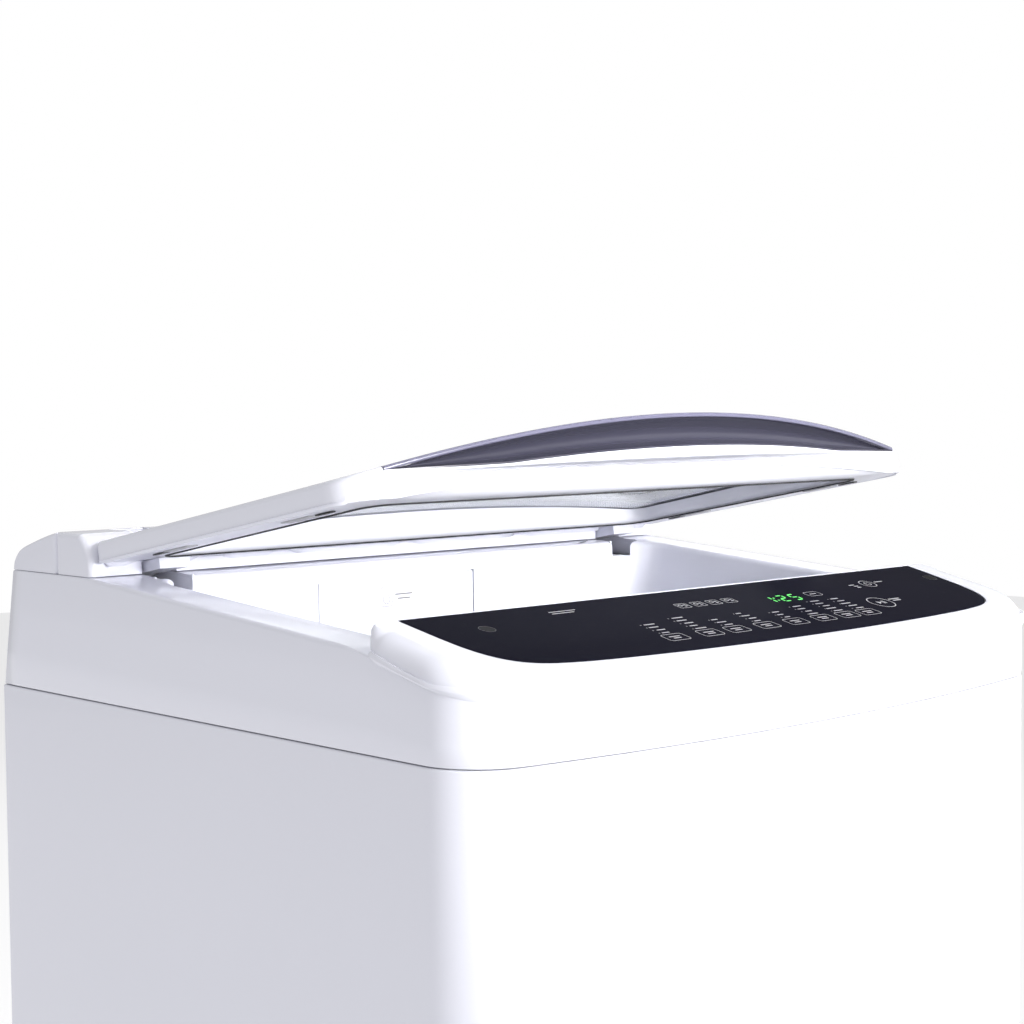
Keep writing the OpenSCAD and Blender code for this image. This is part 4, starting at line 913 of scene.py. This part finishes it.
def make_panel_print():
    z0, z1 = PRINT_LOW, PRINT_TOP
    bright, dim, lamp = [bar(*mark) for mark in MARKS], [], []
    for n, (x, rows, wide) in enumerate(KEY_COLUMNS):
        bright += [key_frame(x, 84, 19, 11.5, 0.45), bar(x, 82.6, 10, 1.1), bar(x, 85.6, 7, 1.1)]
        for k in range(rows):
            u = 74.5 - k * 5.6
            shift = ((n * 7 + k * 3) % 5 - 2) * 0.5
            dim.append(bar(x - 6.2 * wide, u, 1.0, 1.0))
            bright.append(bar(x + 1.4 + shift, u, 7.5 * wide + ((k * 5 + n * 3) % 4), 1.15))
    for x in (-36, -20, -4, 12):
        bright += [key_frame(x, 32, 11, 8.5, 0.4, 1.2), disc(x - 1.6, -31, 1.2, 1.8, z0, z1, 20)]
        bright += [bar(x + 2.4, u, 2.6, 1.0) for u in (33.2, 30.8)]
    bright.append(key_frame(98, 38, 15, 8.5, 0.45))
    bright.append(disc(138, -69.8, 10.3, 10.9, z0, z1, 64))
    arrow = np.array([(134.4, -72.4), (134.4, -67.2), (138.2, -69.8)])
    bright.append(loft([level(arrow, z0), level(arrow, z1)], caps=True))
    bright.append(disc(173, -30.8, 6.7, 7.2, z0, z1, 48))
    bright.append(strip(arc(173, -30.8, 2.9, 120, 420, 20), 0.5, z0, z1, closed=False))
    for x in (-217, 250):
        dim.append(disc(x, -33, 5.4, 5.6, z0, z1, 40))
        lamp.append(disc(x, -33, 0, 5.0, 0.0, z0, 40))
    for name, parts, ink in (
            ("panel_print_marks", bright, "print_grey"), ("panel_print_lamps", dim, "print_dim"),
            ("panel_sensor_windows", lamp, "print_black")):
        piece(name, [on_print(p) for p in parts], "cabinet", "panel_glass", material=ink)


SEGMENTS = {"a": ((0, 1), (1, 1)), "b": ((1, 1), (1, 0.5)), "c": ((1, 0.5), (1, 0)), "d": ((0, 0), (1, 0)),
            "e": ((0, 0.5), (0, 0)), "f": ((0, 1), (0, 0.5)), "g": ((0, 0.5), (1, 0.5))}
DIGITS = {"1": "bc", "2": "abged", "5": "afgcd"}


def make_digits():
    wide, tall, half = 6.4, 11.5, 0.75
    z0, z1 = PRINT_LOW, 0.06
    parts = []
    for x0, digit in ((43, "1"), (58, "2"), (71, "5")):
        for name in DIGITS[digit]:
            p, q = np.array(SEGMENTS[name]) * (wide, tall)
            d = (q - p) / np.linalg.norm(q - p)
            n = np.array([-d[1], d[0]])
            p, q = p + d * 0.5, q - d * 0.5
            a, b = (d + n) * half, (d - n) * half
            ring = np.array([p, p + a, q - b, q, q - a, p + b])
            plan = np.column_stack([x0 + ring[:, 0] + ring[:, 1] * 0.12, ring[:, 1] - 40 - tall / 2])
            parts.append(loft([level(plan, z0), level(plan, z1)], caps=True))
    for u in (37.6, 42.6):
        parts.append(disc(54.0, -u, 0, 0.9, z0, z1, 16))
    parts = [on_print(p) for p in parts]
    piece("display_digits", parts, "cabinet", "display_plastic", material="display_green")


# Lid


def lid_edge(x):
    return LID_FRONT_V - x * x / (2 * EDGE_R)


def crown(x, v):
    """Height of the lid's upper surface over its flat frame."""
    out = 0.0
    share = (np.asarray(v, float) - 20) / 358
    across = np.minimum(np.asarray(x, float) ** 2, LID_HALF**2)
    for height, weight in ((27.17, 1 - share), (47.89, share)):
        rise = height - LID_SIDE_H
        r = (LID_HALF**2 + rise * rise) / (2 * rise)
        out = out + weight * (height - r + np.sqrt(r * r - across))
    return out


def crown_over(plan):
    return crown(plan[:, 0], -plan[:, 1])


def trim_back(x):
    return lid_edge(x) - 26 + 16 * (x / TRIM_HALF) ** 2


def trim_low(x):
    return np.maximum(23 - 14 * (np.asarray(x, float) / TRIM_HALF) ** 2, 17.2)


def apron_low(x):
    return np.maximum(14 - 15 * (np.asarray(x, float) / 270) ** 2, 0.8)


def lid_outline():
    """The lid's plan as (x, -v), anticlockwise."""
    side_v = lid_edge(LID_HALF)
    start, tip = np.array([LID_HALF, -side_v + LID_CORNER_R]), np.array([LID_HALF, -side_v])
    x = LID_HALF - LID_CORNER_R
    end = np.array([x, -lid_edge(x)])
    t = np.linspace(0, 1, 13)[:, None]
    corner = (1 - t) ** 2 * start + 2 * t * (1 - t) * tip + t * t * end
    xs = np.linspace(x, -x, 61)[1:-1]
    front = np.column_stack([xs, -lid_edge(xs)])
    back = arc(LID_HALF - 8, -38, 8, 90, 0, 6)
    right = np.concatenate([back, line(back[-1], corner[0], 20)[1:], corner])
    left = right[::-1] * [-1, 1]
    return np.concatenate([right, front, left, line(left[-1], right[0], 40)[1:]])[::-1]


def window_outline(grow, r=14):
    return round_rect(-WINDOW_HALF - grow, -WINDOW_V1 - grow, WINDOW_HALF + grow, -WINDOW_V0 + grow, r, 8, 24)


def at_lid_ring(plan, h):
    h = np.broadcast_to(h, len(plan))
    return np.array([at_lid(p[0], -p[1], k) for p, k in zip(plan, h)])


def make_lid_frame():
    po, pi = paired(lid_outline(), window_outline(-6), LID_MID)
    no, ni = normals(po), normals(pi)
    x, v = po[:, 0], -po[:, 1]
    front = smooth(318, 330, v)
    r = bpy.context.scene.washer_sizes.lid_edge / MM
    rings = []

    def ring(p, h):
        p = np.array(p)
        h = np.broadcast_to(h, len(p))
        tail = np.minimum(-34 + h / 4, p[:, 1])
        p[:, 1] = np.where(h < 16, tail, p[:, 1])
        rings.append(at_lid_ring(p, h))

    apron = np.column_stack([x, np.maximum(po[:, 1], -APRON_V)])
    for inset, side_h, front_h in ((1.4, 0.9, apron_low(x)), (0.8, 0.25, 15.4)):
        ring(mix(po - no * inset, apron, front[:, None]), mix(side_h, front_h, front))
    ring(po - no * (0.4 + 0.8 * front)[:, None], 15.4 * front)
    low = mix(0.8, 16.0, front)
    for t in (0.0, 0.5, 1.0):
        ring(po, mix(low, crown(x, v) - r, t))
    for c, q in turns(18, 91, 18):
        p = po - no * r * (1 - c)
        ring(p, crown_over(p) - r * (1 - q))
    for t in (0.2, 0.4, 0.6, 0.8, 1.0):
        p = mix(po - no * r, pi + ni * 1.2, t)
        ring(p, crown_over(p))
    top = crown_over(pi)
    for grow, drop in ((0.4, 0.25), (0.0, 1.0), (0.0, 3.0)):
        ring(pi + ni * grow, top - drop)
    shell = build("lid_shell", [loft(rings)], 50)
    orient(shell, at_lid(0, LID_MID_V, -60))
    solidify(shell, 2.4, 50)
    stations = []
    for px in np.linspace(-TRIM_HALF, TRIM_HALF, 49):
        b, low = trim_back(px), float(trim_low(px))
        stations.append([at_lid(px, *q) for q in ((b, low), (390, low), (390, 75), (b, 75))])
    cut(shell, [build("trim_gap", [loft(stations, caps=True)])], angle=50, folded=True)
    finish_piece(shell, "lid", "white_plastic", ["lid_outer_frame"])


def make_lid_trim():
    pocket, rim = [], []
    for px in np.linspace(-TRIM_HALF + 0.4, TRIM_HALF - 0.4, 61):
        e, b, low = lid_edge(px), trim_back(px) + 0.4, float(trim_low(px)) + 0.2
        deep = min(3 + 17 * (1 - abs(px / TRIM_HALF) ** 2.2), e - b - 3)
        top = float(crown(px, e)) - 0.3
        mid = low + (top - low) * 0.42
        curve = [(e - 2.4, top - 2.8)]
        for a in np.linspace(78, -62, 12):
            c, q = math.cos(math.radians(a)), math.sin(math.radians(a))
            half = top - 3.4 - mid if q > 0 else mid - low - 1.6
            curve.append((e - 1.6 - (deep - 1.6) * c, mid + half * q))
        curve += [(e - 0.9, low + 1.5), (e - 0.4, low + 1.1), (e - 0.4, low)]
        back = [(b, low), (b, float(crown(px, b)) - 0.25), (e - 2.4, float(crown(px, e - 2.4)) - 0.3)]
        pocket.append([at_lid(px, *q) for q in curve + back])
        lip = ((2.5, -2.9), (2.5, 0.22), (1.2, 0.12), (0.5, -0.45), (0.2, -1.2), (0.2, -2.4), (0.8, -3.0))
        rim.append([at_lid(px, e - d, top + h) for d, h in lip])
    piece("lid_trim_pocket", [loft(pocket, caps=True)], "lid", "smoke_plastic", ["lid_front_trim"], angle=50)
    # The lip takes the lighter copy of the smoke finish, a painted highlight along the trim's edge
    piece("lid_trim_lip", [loft(rim, caps=True)], "lid", "smoke_plastic", material="smoke_rim_highlight", angle=50)


def make_lid_window():
    plan = window_outline(-3, 11)
    rings = [(plan - LID_MID) * scale + LID_MID for scale in (1.0, 0.8, 0.55, 0.3, 0.08)]
    tops = [at_lid_ring(p, crown_over(p) - 2.6) for p in rings]
    lows = [at_lid_ring(p, crown_over(p) - 6.4) for p in rings]
    solid = loft(lows[::-1] + tops, caps=True)
    pane = piece("lid_pane", [solid], "lid", "lid_glass", ["lid_glass"], angle=50)
    pane.visible_shadow = False
    drop = 7.2
    under, dashes = [], []
    xs = np.linspace(-243, 243, 41)
    for v0, v1 in ((65, 88), (280, 297)):
        rows = []
        for a, b, d in ((v0, v1, drop), (v1, v0, drop + 0.25)):
            rows += [[at_lid(x, v, float(crown(x, v)) - d) for x in xs] for v in np.linspace(a, b, 4)]
        under.append(loft(rows, closed_ring=False, closed_loft=True))
    printed = piece("lid_pane_print", under, "lid", "lid_glass", material="glass_print", angle=50)
    printed.visible_shadow = False
    for v in np.arange(100, 278, 20.0):
        for x in -234 + 12.0 * np.arange(40):
            h = float(crown(x, v)) - drop
            corners = [(x - 3.2, v - 0.35), (x + 3.2, v - 0.35), (x + 3.2, v + 0.35), (x - 3.2, v + 0.35)]
            dashes.append(loft([[at_lid(a, b, h - d) for a, b in corners] for d in (0, 0.2)], caps=True))
    piece("lid_pane_dashes", dashes, "lid", "lid_glass", material="print_grey")


def make_lid_inner():
    po, pi = paired(lid_outline(), window_outline(0, 16), LID_MID)
    no, ni = normals(po), normals(pi)
    plan = po - no * 2.9
    plan[:, 1] = np.clip(plan[:, 1], -APRON_V + 2.9, -39)
    low = 0.35
    arch = apron_low(plan[:, 0]) * smooth(292, 327, -plan[:, 1]) + low
    r = bpy.context.scene.washer_sizes.frame_roll / MM
    rings = [at_lid_ring(plan, arch)]
    for t in (0.25, 0.5, 0.75, 1.0):
        rings.append(at_lid_ring(mix(plan, pi + ni * r, t), arch * (1 - t) ** 2 + low * (1 - (1 - t) ** 2)))
    for c, q in turns(15, 91, 15):
        rings.append(at_lid_ring(pi + ni * r * (1 - q), low + r * (1 - c)))
    for t in (0.5, 1.0):
        rings.append(at_lid_ring(pi, mix(low + r, crown_over(pi) - 7.4, t)))
    inner = build("lid_inner_panel", [loft(rings)], 50)
    orient(inner, at_lid(0, LID_MID_V, 200))
    solidify(inner, 2.0, 50)
    finish_piece(inner, "lid", "satin_white_plastic", ["lid_inner_frame"])
    # Grey patches on the inner frame: painted shade standing in for its slots, which are not cut
    slot_shade_pads = [rounded_box(x - 5, -v - 30, -0.6, x + 5, -v, 0.9, 0.6) for x in (-268, 268) for v in (96, 236)]
    slot_shade_pads = [moved(p, lambda a, b, c: at_lid(a, -b, c)) for p in slot_shade_pads]
    piece("lid_inner_slot_shade", slot_shade_pads, "lid", "satin_white_plastic", material="print_grey")


def make_lid_seal():
    po, pi = paired(window_outline(3.4, 18), window_outline(1.2, 16.5), LID_MID)
    section = ((0.0, 0.3), (0.25, -0.7), (0.75, -0.7), (1.0, 0.3), (0.5, 0.5))
    rings = [at_lid_ring(mix(po, pi, t), h) for t, h in section]
    piece("lid_window_seal", [loft(rings, closed_loft=True)], "lid", "rubber", ["lid_gasket"], angle=50)


# Drawer


def scoop(x, z):
    """Depth of the drawer front's finger recess, a round dish that meets the drawer's top edge."""
    near = 103.9 - np.hypot(np.asarray(x, float) + 25, z - 984.4)
    return np.clip(near / 32, 0, 1) * 1.9 + np.clip(near / 1.2, 0, 1) * 0.3


def make_drawer_front():
    x0, x1, z0, z1 = DRAWER_X0, DRAWER_X1, DRAWER_Z0, DRAWER_Z1
    xs = np.linspace(x0 + 1.2, x1 - 1.2, 81)
    rings = []
    for z in np.concatenate([[z0, z0 + 0.3, z0 + 0.9], np.linspace(z0 + 2, z1 - 1.2, 40), [z1 - 0.4, z1]]):
        roll = 0.9 - min(0.9, z - z0) + max(0.0, 0.8 - (z1 - z)) * 0.6
        face = np.column_stack([xs, WELL_Y1 + 0.05 + roll + scoop(xs, z)])
        side = [(0.3, WELL_Y1 + 0.45 + roll), (0.0, WELL_Y1 + 1.1 + roll * 0.5), (0.0, WELL_Y1 + 2.6)]
        right = [(x1 - inset, y) for inset, y in side]
        left = [(x0 + inset, y) for inset, y in side[::-1]]
        rings.append(level(np.concatenate([face, right, left]), z))
    piece("drawer_face", [loft(rings, caps=True)], "drawer", "white_plastic", ["drawer_front"], angle=32)

    def place(a, b, c):
        z = 895 + b
        return (a - 25, WELL_Y1 + float(scoop(a - 25, z)) - c, z)

    drop = np.concatenate([arc(-12, 0, 3.4, -205, 25, 18), [(-12, 8.2)]])
    marks = [strip(drop, 0.6, 0, 0.06), strip(round_rect(-18, -5.4, -6, 10, 3, 5, 3), 0.5, 0, 0.06)]
    marks += [bar(6, -b, w, 1.2, 0, 0.06) for b, w in ((3.6, 18), (0.2, 13))]
    piece("drawer_mark", [moved(m, place) for m in marks], "drawer", "white_plastic", material="print_dim")


# Suspension and hose


def tube_along(path, radius, sides=12):
    """A tube along a smooth path; radius is one number or one for each point."""
    path = np.asarray(path, float)
    radius = np.broadcast_to(radius, len(path))
    step = np.gradient(path, axis=0)
    step /= np.linalg.norm(step, axis=1)[:, None]
    ref = np.array([0.0, 0.0, 1.0])
    a = np.radians(np.arange(sides) * 360 / sides)
    rings = []
    for p, d, r in zip(path, step, radius):
        u = np.cross(d, ref)
        if np.linalg.norm(u) < 0.2:
            u = np.cross(d, [1.0, 0.0, 0.0])
        u /= np.linalg.norm(u)
        w = np.cross(u, d)
        rings.append(p + r * (np.cos(a)[:, None] * u + np.sin(a)[:, None] * w))
    return loft(rings, caps=True)


def make_springs():
    z0, z1, r, wire = 254.0, 395.0, 13.0, 1.6
    t = np.linspace(0, 1, 241)
    turn = 2 * math.pi * 8 * t
    rise = (z0 + wire) + (z1 - z0 - 2 * wire) * (t * 0.94 + 0.06 * smooth(0.08, 0.92, t))
    parts = []
    for side in (-1, 1):
        for y in (CORNER_CY, BACK_Y - 57):
            path = np.column_stack([side * 245 + r * np.cos(turn), y + r * np.sin(turn), rise])
            parts.append(tube_along(path, wire, 8))
    springs = build("suspension_coils", parts, 60)
    springs.data.materials.append(FINISH["turned_steel"])
    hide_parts("suspension_springs")
    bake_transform(springs)


def make_drain_hose():
    path = spline([(-117, 169, 170), (-117, 179, 170), (-129, 187, 164), (-155, 205, 131.5),
                   (-176, 205, 120.5), (-195, 210, 115.5), (-200, 219, 115.5), (-200, 227, 115.5)], 22)
    length = np.concatenate([[0], np.cumsum(np.linalg.norm(np.diff(path, axis=0), axis=1))])
    even = np.linspace(0, length[-1], 260)
    path = np.column_stack([np.interp(even, length, path[:, k]) for k in range(3)])
    inner = smooth(12, 18, even) * (1 - smooth(length[-1] - 18, length[-1] - 12, even))
    radius = 10.9 - 0.8 * inner * (1 + np.sin(even * 2 * math.pi / 4.2))
    hose = build("ribbed_hose", [tube_along(path, radius, 24)], 60)
    hose.data.materials.append(FINISH["hose_grey"])
    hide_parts("drain_hose")
    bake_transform(hose)


# Remaining parts


NODE_FINISH = {
    "basket_hub": "cast_alloy", "back_panel": "enamel", "lid_hinge_left": "gloss_white",
    "lid_hinge_right": "gloss_white", **dict.fromkeys((
        "spin_shaft", "wash_shaft", "rotor_nut", "bearing_upper", "bearing_lower", "pulsator_screw",
        "back_screws", "hinge_pins"), "turned_steel")}
SOFT_NODES = {
    "pulsator": 1.2, "base_frame": 1.2, "balance_ring": 1.0, "foot_front_left": 0.8, "foot_front_right": 0.8,
    "foot_rear_left": 0.8, "foot_rear_right": 0.8, "lid_hinge_left": 1.4, "lid_hinge_right": 1.4,
    "softener_cap": 0.6, "tub_cover": 0.8, "back_panel": 0.4, "drain_outlet": 0.6, "detergent_drawer": 0.6}


def make_inner_parts():
    for name, obj in frame["nodes"].items():
        if obj.hide_render:
            continue
        obj.data.materials.clear()
        obj.data.materials.append(FINISH[NODE_FINISH.get(name, SLOT_FINISH[SLOT_OF[name]])])
        if name in SOFT_NODES:
            mod = obj.modifiers.new("soft_edges", "BEVEL")
            mod.width = SOFT_NODES[name] * MM
            mod.segments = 3
            mod.limit_method = "ANGLE"
            mod.angle_limit = math.radians(38)
            mod.harden_normals = True
            mod.use_clamp_overlap = True


# Stage


def make_camera():
    """The camera of the main view, from its place and its turns in radians."""
    place = (-1.0283, -1.0986, 1.0509)
    yaw, pitch, roll = 0.752211, 0.055685, -0.009596
    ahead = Vector((math.sin(yaw) * math.cos(pitch), math.cos(yaw) * math.cos(pitch), -math.sin(pitch)))
    right = Vector((math.cos(yaw), -math.sin(yaw), 0))
    up = right.cross(ahead)
    x = right * math.cos(roll) + up * math.sin(roll)
    y = up * math.cos(roll) - right * math.sin(roll)
    cam = bpy.data.cameras.new("camera")
    cam.lens = 68.996
    cam.sensor_width = 36
    obj = bpy.data.objects.new("camera", cam)
    turn = Matrix((x, y, -ahead)).transposed().to_4x4()
    obj.matrix_world = Matrix.Translation(place) @ turn
    bpy.context.scene.collection.objects.link(obj)
    bpy.context.scene.camera = obj


def make_floor():
    mesh = bpy.data.meshes.new("floor")
    half, below = 8.0, -0.0005
    side = np.linspace(-half, half, 25)
    verts, faces = loft([[(x, y, below) for x in side] for y in side], closed_ring=False)
    mesh.from_pydata(verts, [], faces)
    mesh.materials.append(FINISH["studio_floor"])
    obj = bpy.data.objects.new("floor", mesh)
    bpy.context.scene.collection.objects.link(obj)


def make_lights():
    lights = bpy.context.scene.washer_lights
    world = bpy.data.worlds.new("studio")
    world.use_nodes = True
    tree = world.node_tree
    sky = next(n for n in tree.nodes if n.type == "BACKGROUND")
    sky.inputs["Color"].default_value = (*lights.backdrop, 1)
    path = node(tree, "LightPath")
    level = node(tree, "Mix", {"A": lights.ambient, "B": 1.0}, data_type="FLOAT")
    tree.links.new(path.outputs["Is Camera Ray"], level.inputs["Factor"])
    tree.links.new(level.outputs["Result"], sky.inputs["Strength"])
    bpy.context.scene.world = world
    for name, place, aim, size, power, spread, tint in (
            ("key", (0.9, -3.4, 1.75), (0, 0, 0.75), 2.0, lights.key, 180, (1.0, 0.99, 0.98)),
            ("fill", (-3.6, -0.6, 2.0), (0, 0, 0.6), 2.4, lights.fill, 180, (0.93, 0.94, 1.0)),
            ("top", (0.2, -0.4, 4.0), (0, 0, 0.9), 2.6, lights.top, 180, (1.0, 1.0, 1.0)),
            ("well", (0.2, -1.7, 1.30), (0, 0.1, 0.93), 0.7, lights.well, 34, (1.0, 1.0, 1.0)),
            ("rim", (2.6, 2.6, 2.4), (0, 0, 0.7), 2.0, lights.rim, 180, (1.0, 1.0, 1.0))):
        data = bpy.data.lights.new(name, "AREA")
        data.shape = "SQUARE"
        data.size = size
        data.energy = power
        data.spread = math.radians(spread)
        data.color = tint
        obj = bpy.data.objects.new(name, data)
        d = Vector(aim) - Vector(place)
        obj.matrix_world = Matrix.Translation(place) @ d.to_track_quat("-Z", "Y").to_matrix().to_4x4()
        bpy.context.scene.collection.objects.link(obj)
    bpy.context.scene.view_settings.view_transform = "Standard"


# Add-on


class WasherColours(bpy.types.PropertyGroup):
    body: FloatVectorProperty(
        name="Body", description="Colour of the cabinet, covers and lid", subtype="COLOR", size=3, min=0,
        max=1, default=(0.78, 0.785, 0.865))
    inner: FloatVectorProperty(
        name="Inner parts", description="Colour of the satin plastic inside the machine", subtype="COLOR",
        size=3, min=0, max=1, default=(0.80, 0.805, 0.87))
    panel: FloatVectorProperty(
        name="Panel", description="Colour of the control panel's glossy plate", subtype="COLOR", size=3,
        min=0, max=1, default=(0.008, 0.008, 0.014))
    trim: FloatVectorProperty(
        name="Trim", description="Colour of the lid's smoky front trim", subtype="COLOR", size=3, min=0,
        max=1, default=(0.045, 0.044, 0.066))


class WasherSizes(bpy.types.PropertyGroup):
    sheet_roll: FloatProperty(
        name="Sheet roll", description="Bend radius of the cabinet sheet's edges", unit="LENGTH",
        min=0.001, max=0.005, default=0.0015)
    deck_edge: FloatProperty(
        name="Deck edge", description="Edge radius of the top cover's sides", unit="LENGTH", min=0.0015,
        max=0.009, default=0.0035)
    well_rim: FloatProperty(
        name="Well rim", description="Edge radius round the loading well", unit="LENGTH", min=0.002,
        max=0.008, default=0.005)
    bowl_bend: FloatProperty(
        name="Bowl bend", description="Radius between the well's wall and its bowl", unit="LENGTH",
        min=0.006, max=0.03, default=0.02)
    cover_end_roll: FloatProperty(
        name="Cover end roll", description="Edge radius at the ends of the rear covers", unit="LENGTH",
        min=0.001, max=0.006, default=0.004)
    console_shoulder: FloatProperty(
        name="Console shoulder", description="Edge radius of the console's front and sides",
        unit="LENGTH", min=0.006, max=0.02, default=0.016)
    lid_edge: FloatProperty(
        name="Lid edge", description="Edge radius of the lid's outer shell", unit="LENGTH", min=0.001,
        max=0.006, default=0.0035)
    frame_roll: FloatProperty(
        name="Frame roll", description="Edge radius round the lid's window on the inner side",
        unit="LENGTH", min=0.002, max=0.008, default=0.005)


class WasherLights(bpy.types.PropertyGroup):
    backdrop: FloatVectorProperty(
        name="Backdrop", description="Colour of the studio behind the machine", subtype="COLOR", size=3,
        min=0, max=1, default=(1.0, 1.0, 1.0))
    ambient: FloatProperty(
        name="Ambient", description="Strength of the studio's even light", min=0, max=4, default=0.56)
    key: FloatProperty(
        name="Key", description="Power of the front light", unit="POWER", min=0, max=500, default=16)
    fill: FloatProperty(
        name="Fill", description="Power of the left light", unit="POWER", min=0, max=500, default=9)
    top: FloatProperty(
        name="Top", description="Power of the light overhead", unit="POWER", min=0, max=500, default=16)
    well: FloatProperty(
        name="Well", description="Power of the low light into the loading well", unit="POWER", min=0,
        max=200, default=4)
    rim: FloatProperty(
        name="Rim", description="Power of the light behind", unit="POWER", min=0, max=500, default=14)


class WASHER_OT_materials(bpy.types.Operator):
    """Make every material of the machine and of the studio"""
    bl_idname = "washer.materials"
    bl_label = "Materials"

    def execute(self, context):
        make_finishes()
        return {"FINISHED"}


class WASHER_OT_cabinet(bpy.types.Operator):
    """Build the cabinet sheet with rolled edges"""
    bl_idname = "washer.cabinet"
    bl_label = "Cabinet"

    def execute(self, context):
        make_cabinet()
        return {"FINISHED"}


class WASHER_OT_top_cover(bpy.types.Operator):
    """Build the top cover with its well and bowl"""
    bl_idname = "washer.top_cover"
    bl_label = "Top cover"

    def execute(self, context):
        make_top_cover()
        return {"FINISHED"}


class WASHER_OT_rear_covers(bpy.types.Operator):
    """Build the rear cover and the hinge hood"""
    bl_idname = "washer.rear_covers"
    bl_label = "Rear covers"

    def execute(self, context):
        make_rear_covers()
        return {"FINISHED"}


class WASHER_OT_console(bpy.types.Operator):
    """Build the console with its control panel, print and display"""
    bl_idname = "washer.console"
    bl_label = "Console"

    def execute(self, context):
        make_console()
        make_panel()
        make_panel_print()
        make_digits()
        return {"FINISHED"}


class WASHER_OT_lid(bpy.types.Operator):
    """Build the lid's shell, trim, window, inner panel and seal"""
    bl_idname = "washer.lid"
    bl_label = "Lid"

    def execute(self, context):
        make_lid_frame()
        make_lid_trim()
        make_lid_window()
        make_lid_inner()
        make_lid_seal()
        return {"FINISHED"}


class WASHER_OT_drawer(bpy.types.Operator):
    """Build the detergent drawer's front"""
    bl_idname = "washer.drawer"
    bl_label = "Drawer front"

    def execute(self, context):
        make_drawer_front()
        return {"FINISHED"}


class WASHER_OT_suspension(bpy.types.Operator):
    """Build the suspension coils and the ribbed drain hose"""
    bl_idname = "washer.suspension"
    bl_label = "Springs and hose"

    def execute(self, context):
        make_springs()
        make_drain_hose()
        return {"FINISHED"}


class WASHER_OT_inner_parts(bpy.types.Operator):
    """Finish the parts that keep their own shape"""
    bl_idname = "washer.inner_parts"
    bl_label = "Inner parts"

    def execute(self, context):
        make_inner_parts()
        return {"FINISHED"}


class WASHER_OT_stage(bpy.types.Operator):
    """Set up the floor, the lights and the camera"""
    bl_idname = "washer.stage"
    bl_label = "Studio"

    def execute(self, context):
        make_floor()
        make_lights()
        make_camera()
        return {"FINISHED"}


OPERATORS = (WASHER_OT_materials, WASHER_OT_cabinet, WASHER_OT_top_cover, WASHER_OT_rear_covers,
             WASHER_OT_console, WASHER_OT_lid, WASHER_OT_drawer, WASHER_OT_suspension, WASHER_OT_inner_parts,
             WASHER_OT_stage)


class WASHER_PT_panel(bpy.types.Panel):
    """Colours, sizes, lights and build steps of the washing machine"""
    bl_idname = "WASHER_PT_panel"
    bl_label = "Top load washing machine"
    bl_space_type = "VIEW_3D"
    bl_region_type = "UI"
    bl_category = "Washer"

    def draw(self, context):
        scene = context.scene
        for group_data in (scene.washer_colours, scene.washer_sizes, scene.washer_lights):
            column = self.layout.column()
            for name in group_data.__annotations__:
                column.prop(group_data, name)
        column = self.layout.column()
        for operator in OPERATORS:
            column.operator(operator.bl_idname)


GROUPS = (WasherColours, WasherSizes, WasherLights)
CLASSES = GROUPS + OPERATORS + (WASHER_PT_panel,)


def register():
    for c in CLASSES:
        bpy.utils.register_class(c)
    bpy.types.Scene.washer_colours = PointerProperty(type=WasherColours)
    bpy.types.Scene.washer_sizes = PointerProperty(type=WasherSizes)
    bpy.types.Scene.washer_lights = PointerProperty(type=WasherLights)


def unregister():
    del bpy.types.Scene.washer_lights
    del bpy.types.Scene.washer_sizes
    del bpy.types.Scene.washer_colours
    for c in reversed(CLASSES):
        bpy.utils.unregister_class(c)


def main():
    clear_scene()
    register()
    bpy.ops.washer.materials()
    bpy.ops.washer.cabinet()
    bpy.ops.washer.top_cover()
    bpy.ops.washer.rear_covers()
    bpy.ops.washer.console()
    bpy.ops.washer.lid()
    bpy.ops.washer.drawer()
    bpy.ops.washer.suspension()
    bpy.ops.washer.inner_parts()
    bpy.ops.washer.stage()


if __name__ == "__main__":
    main()
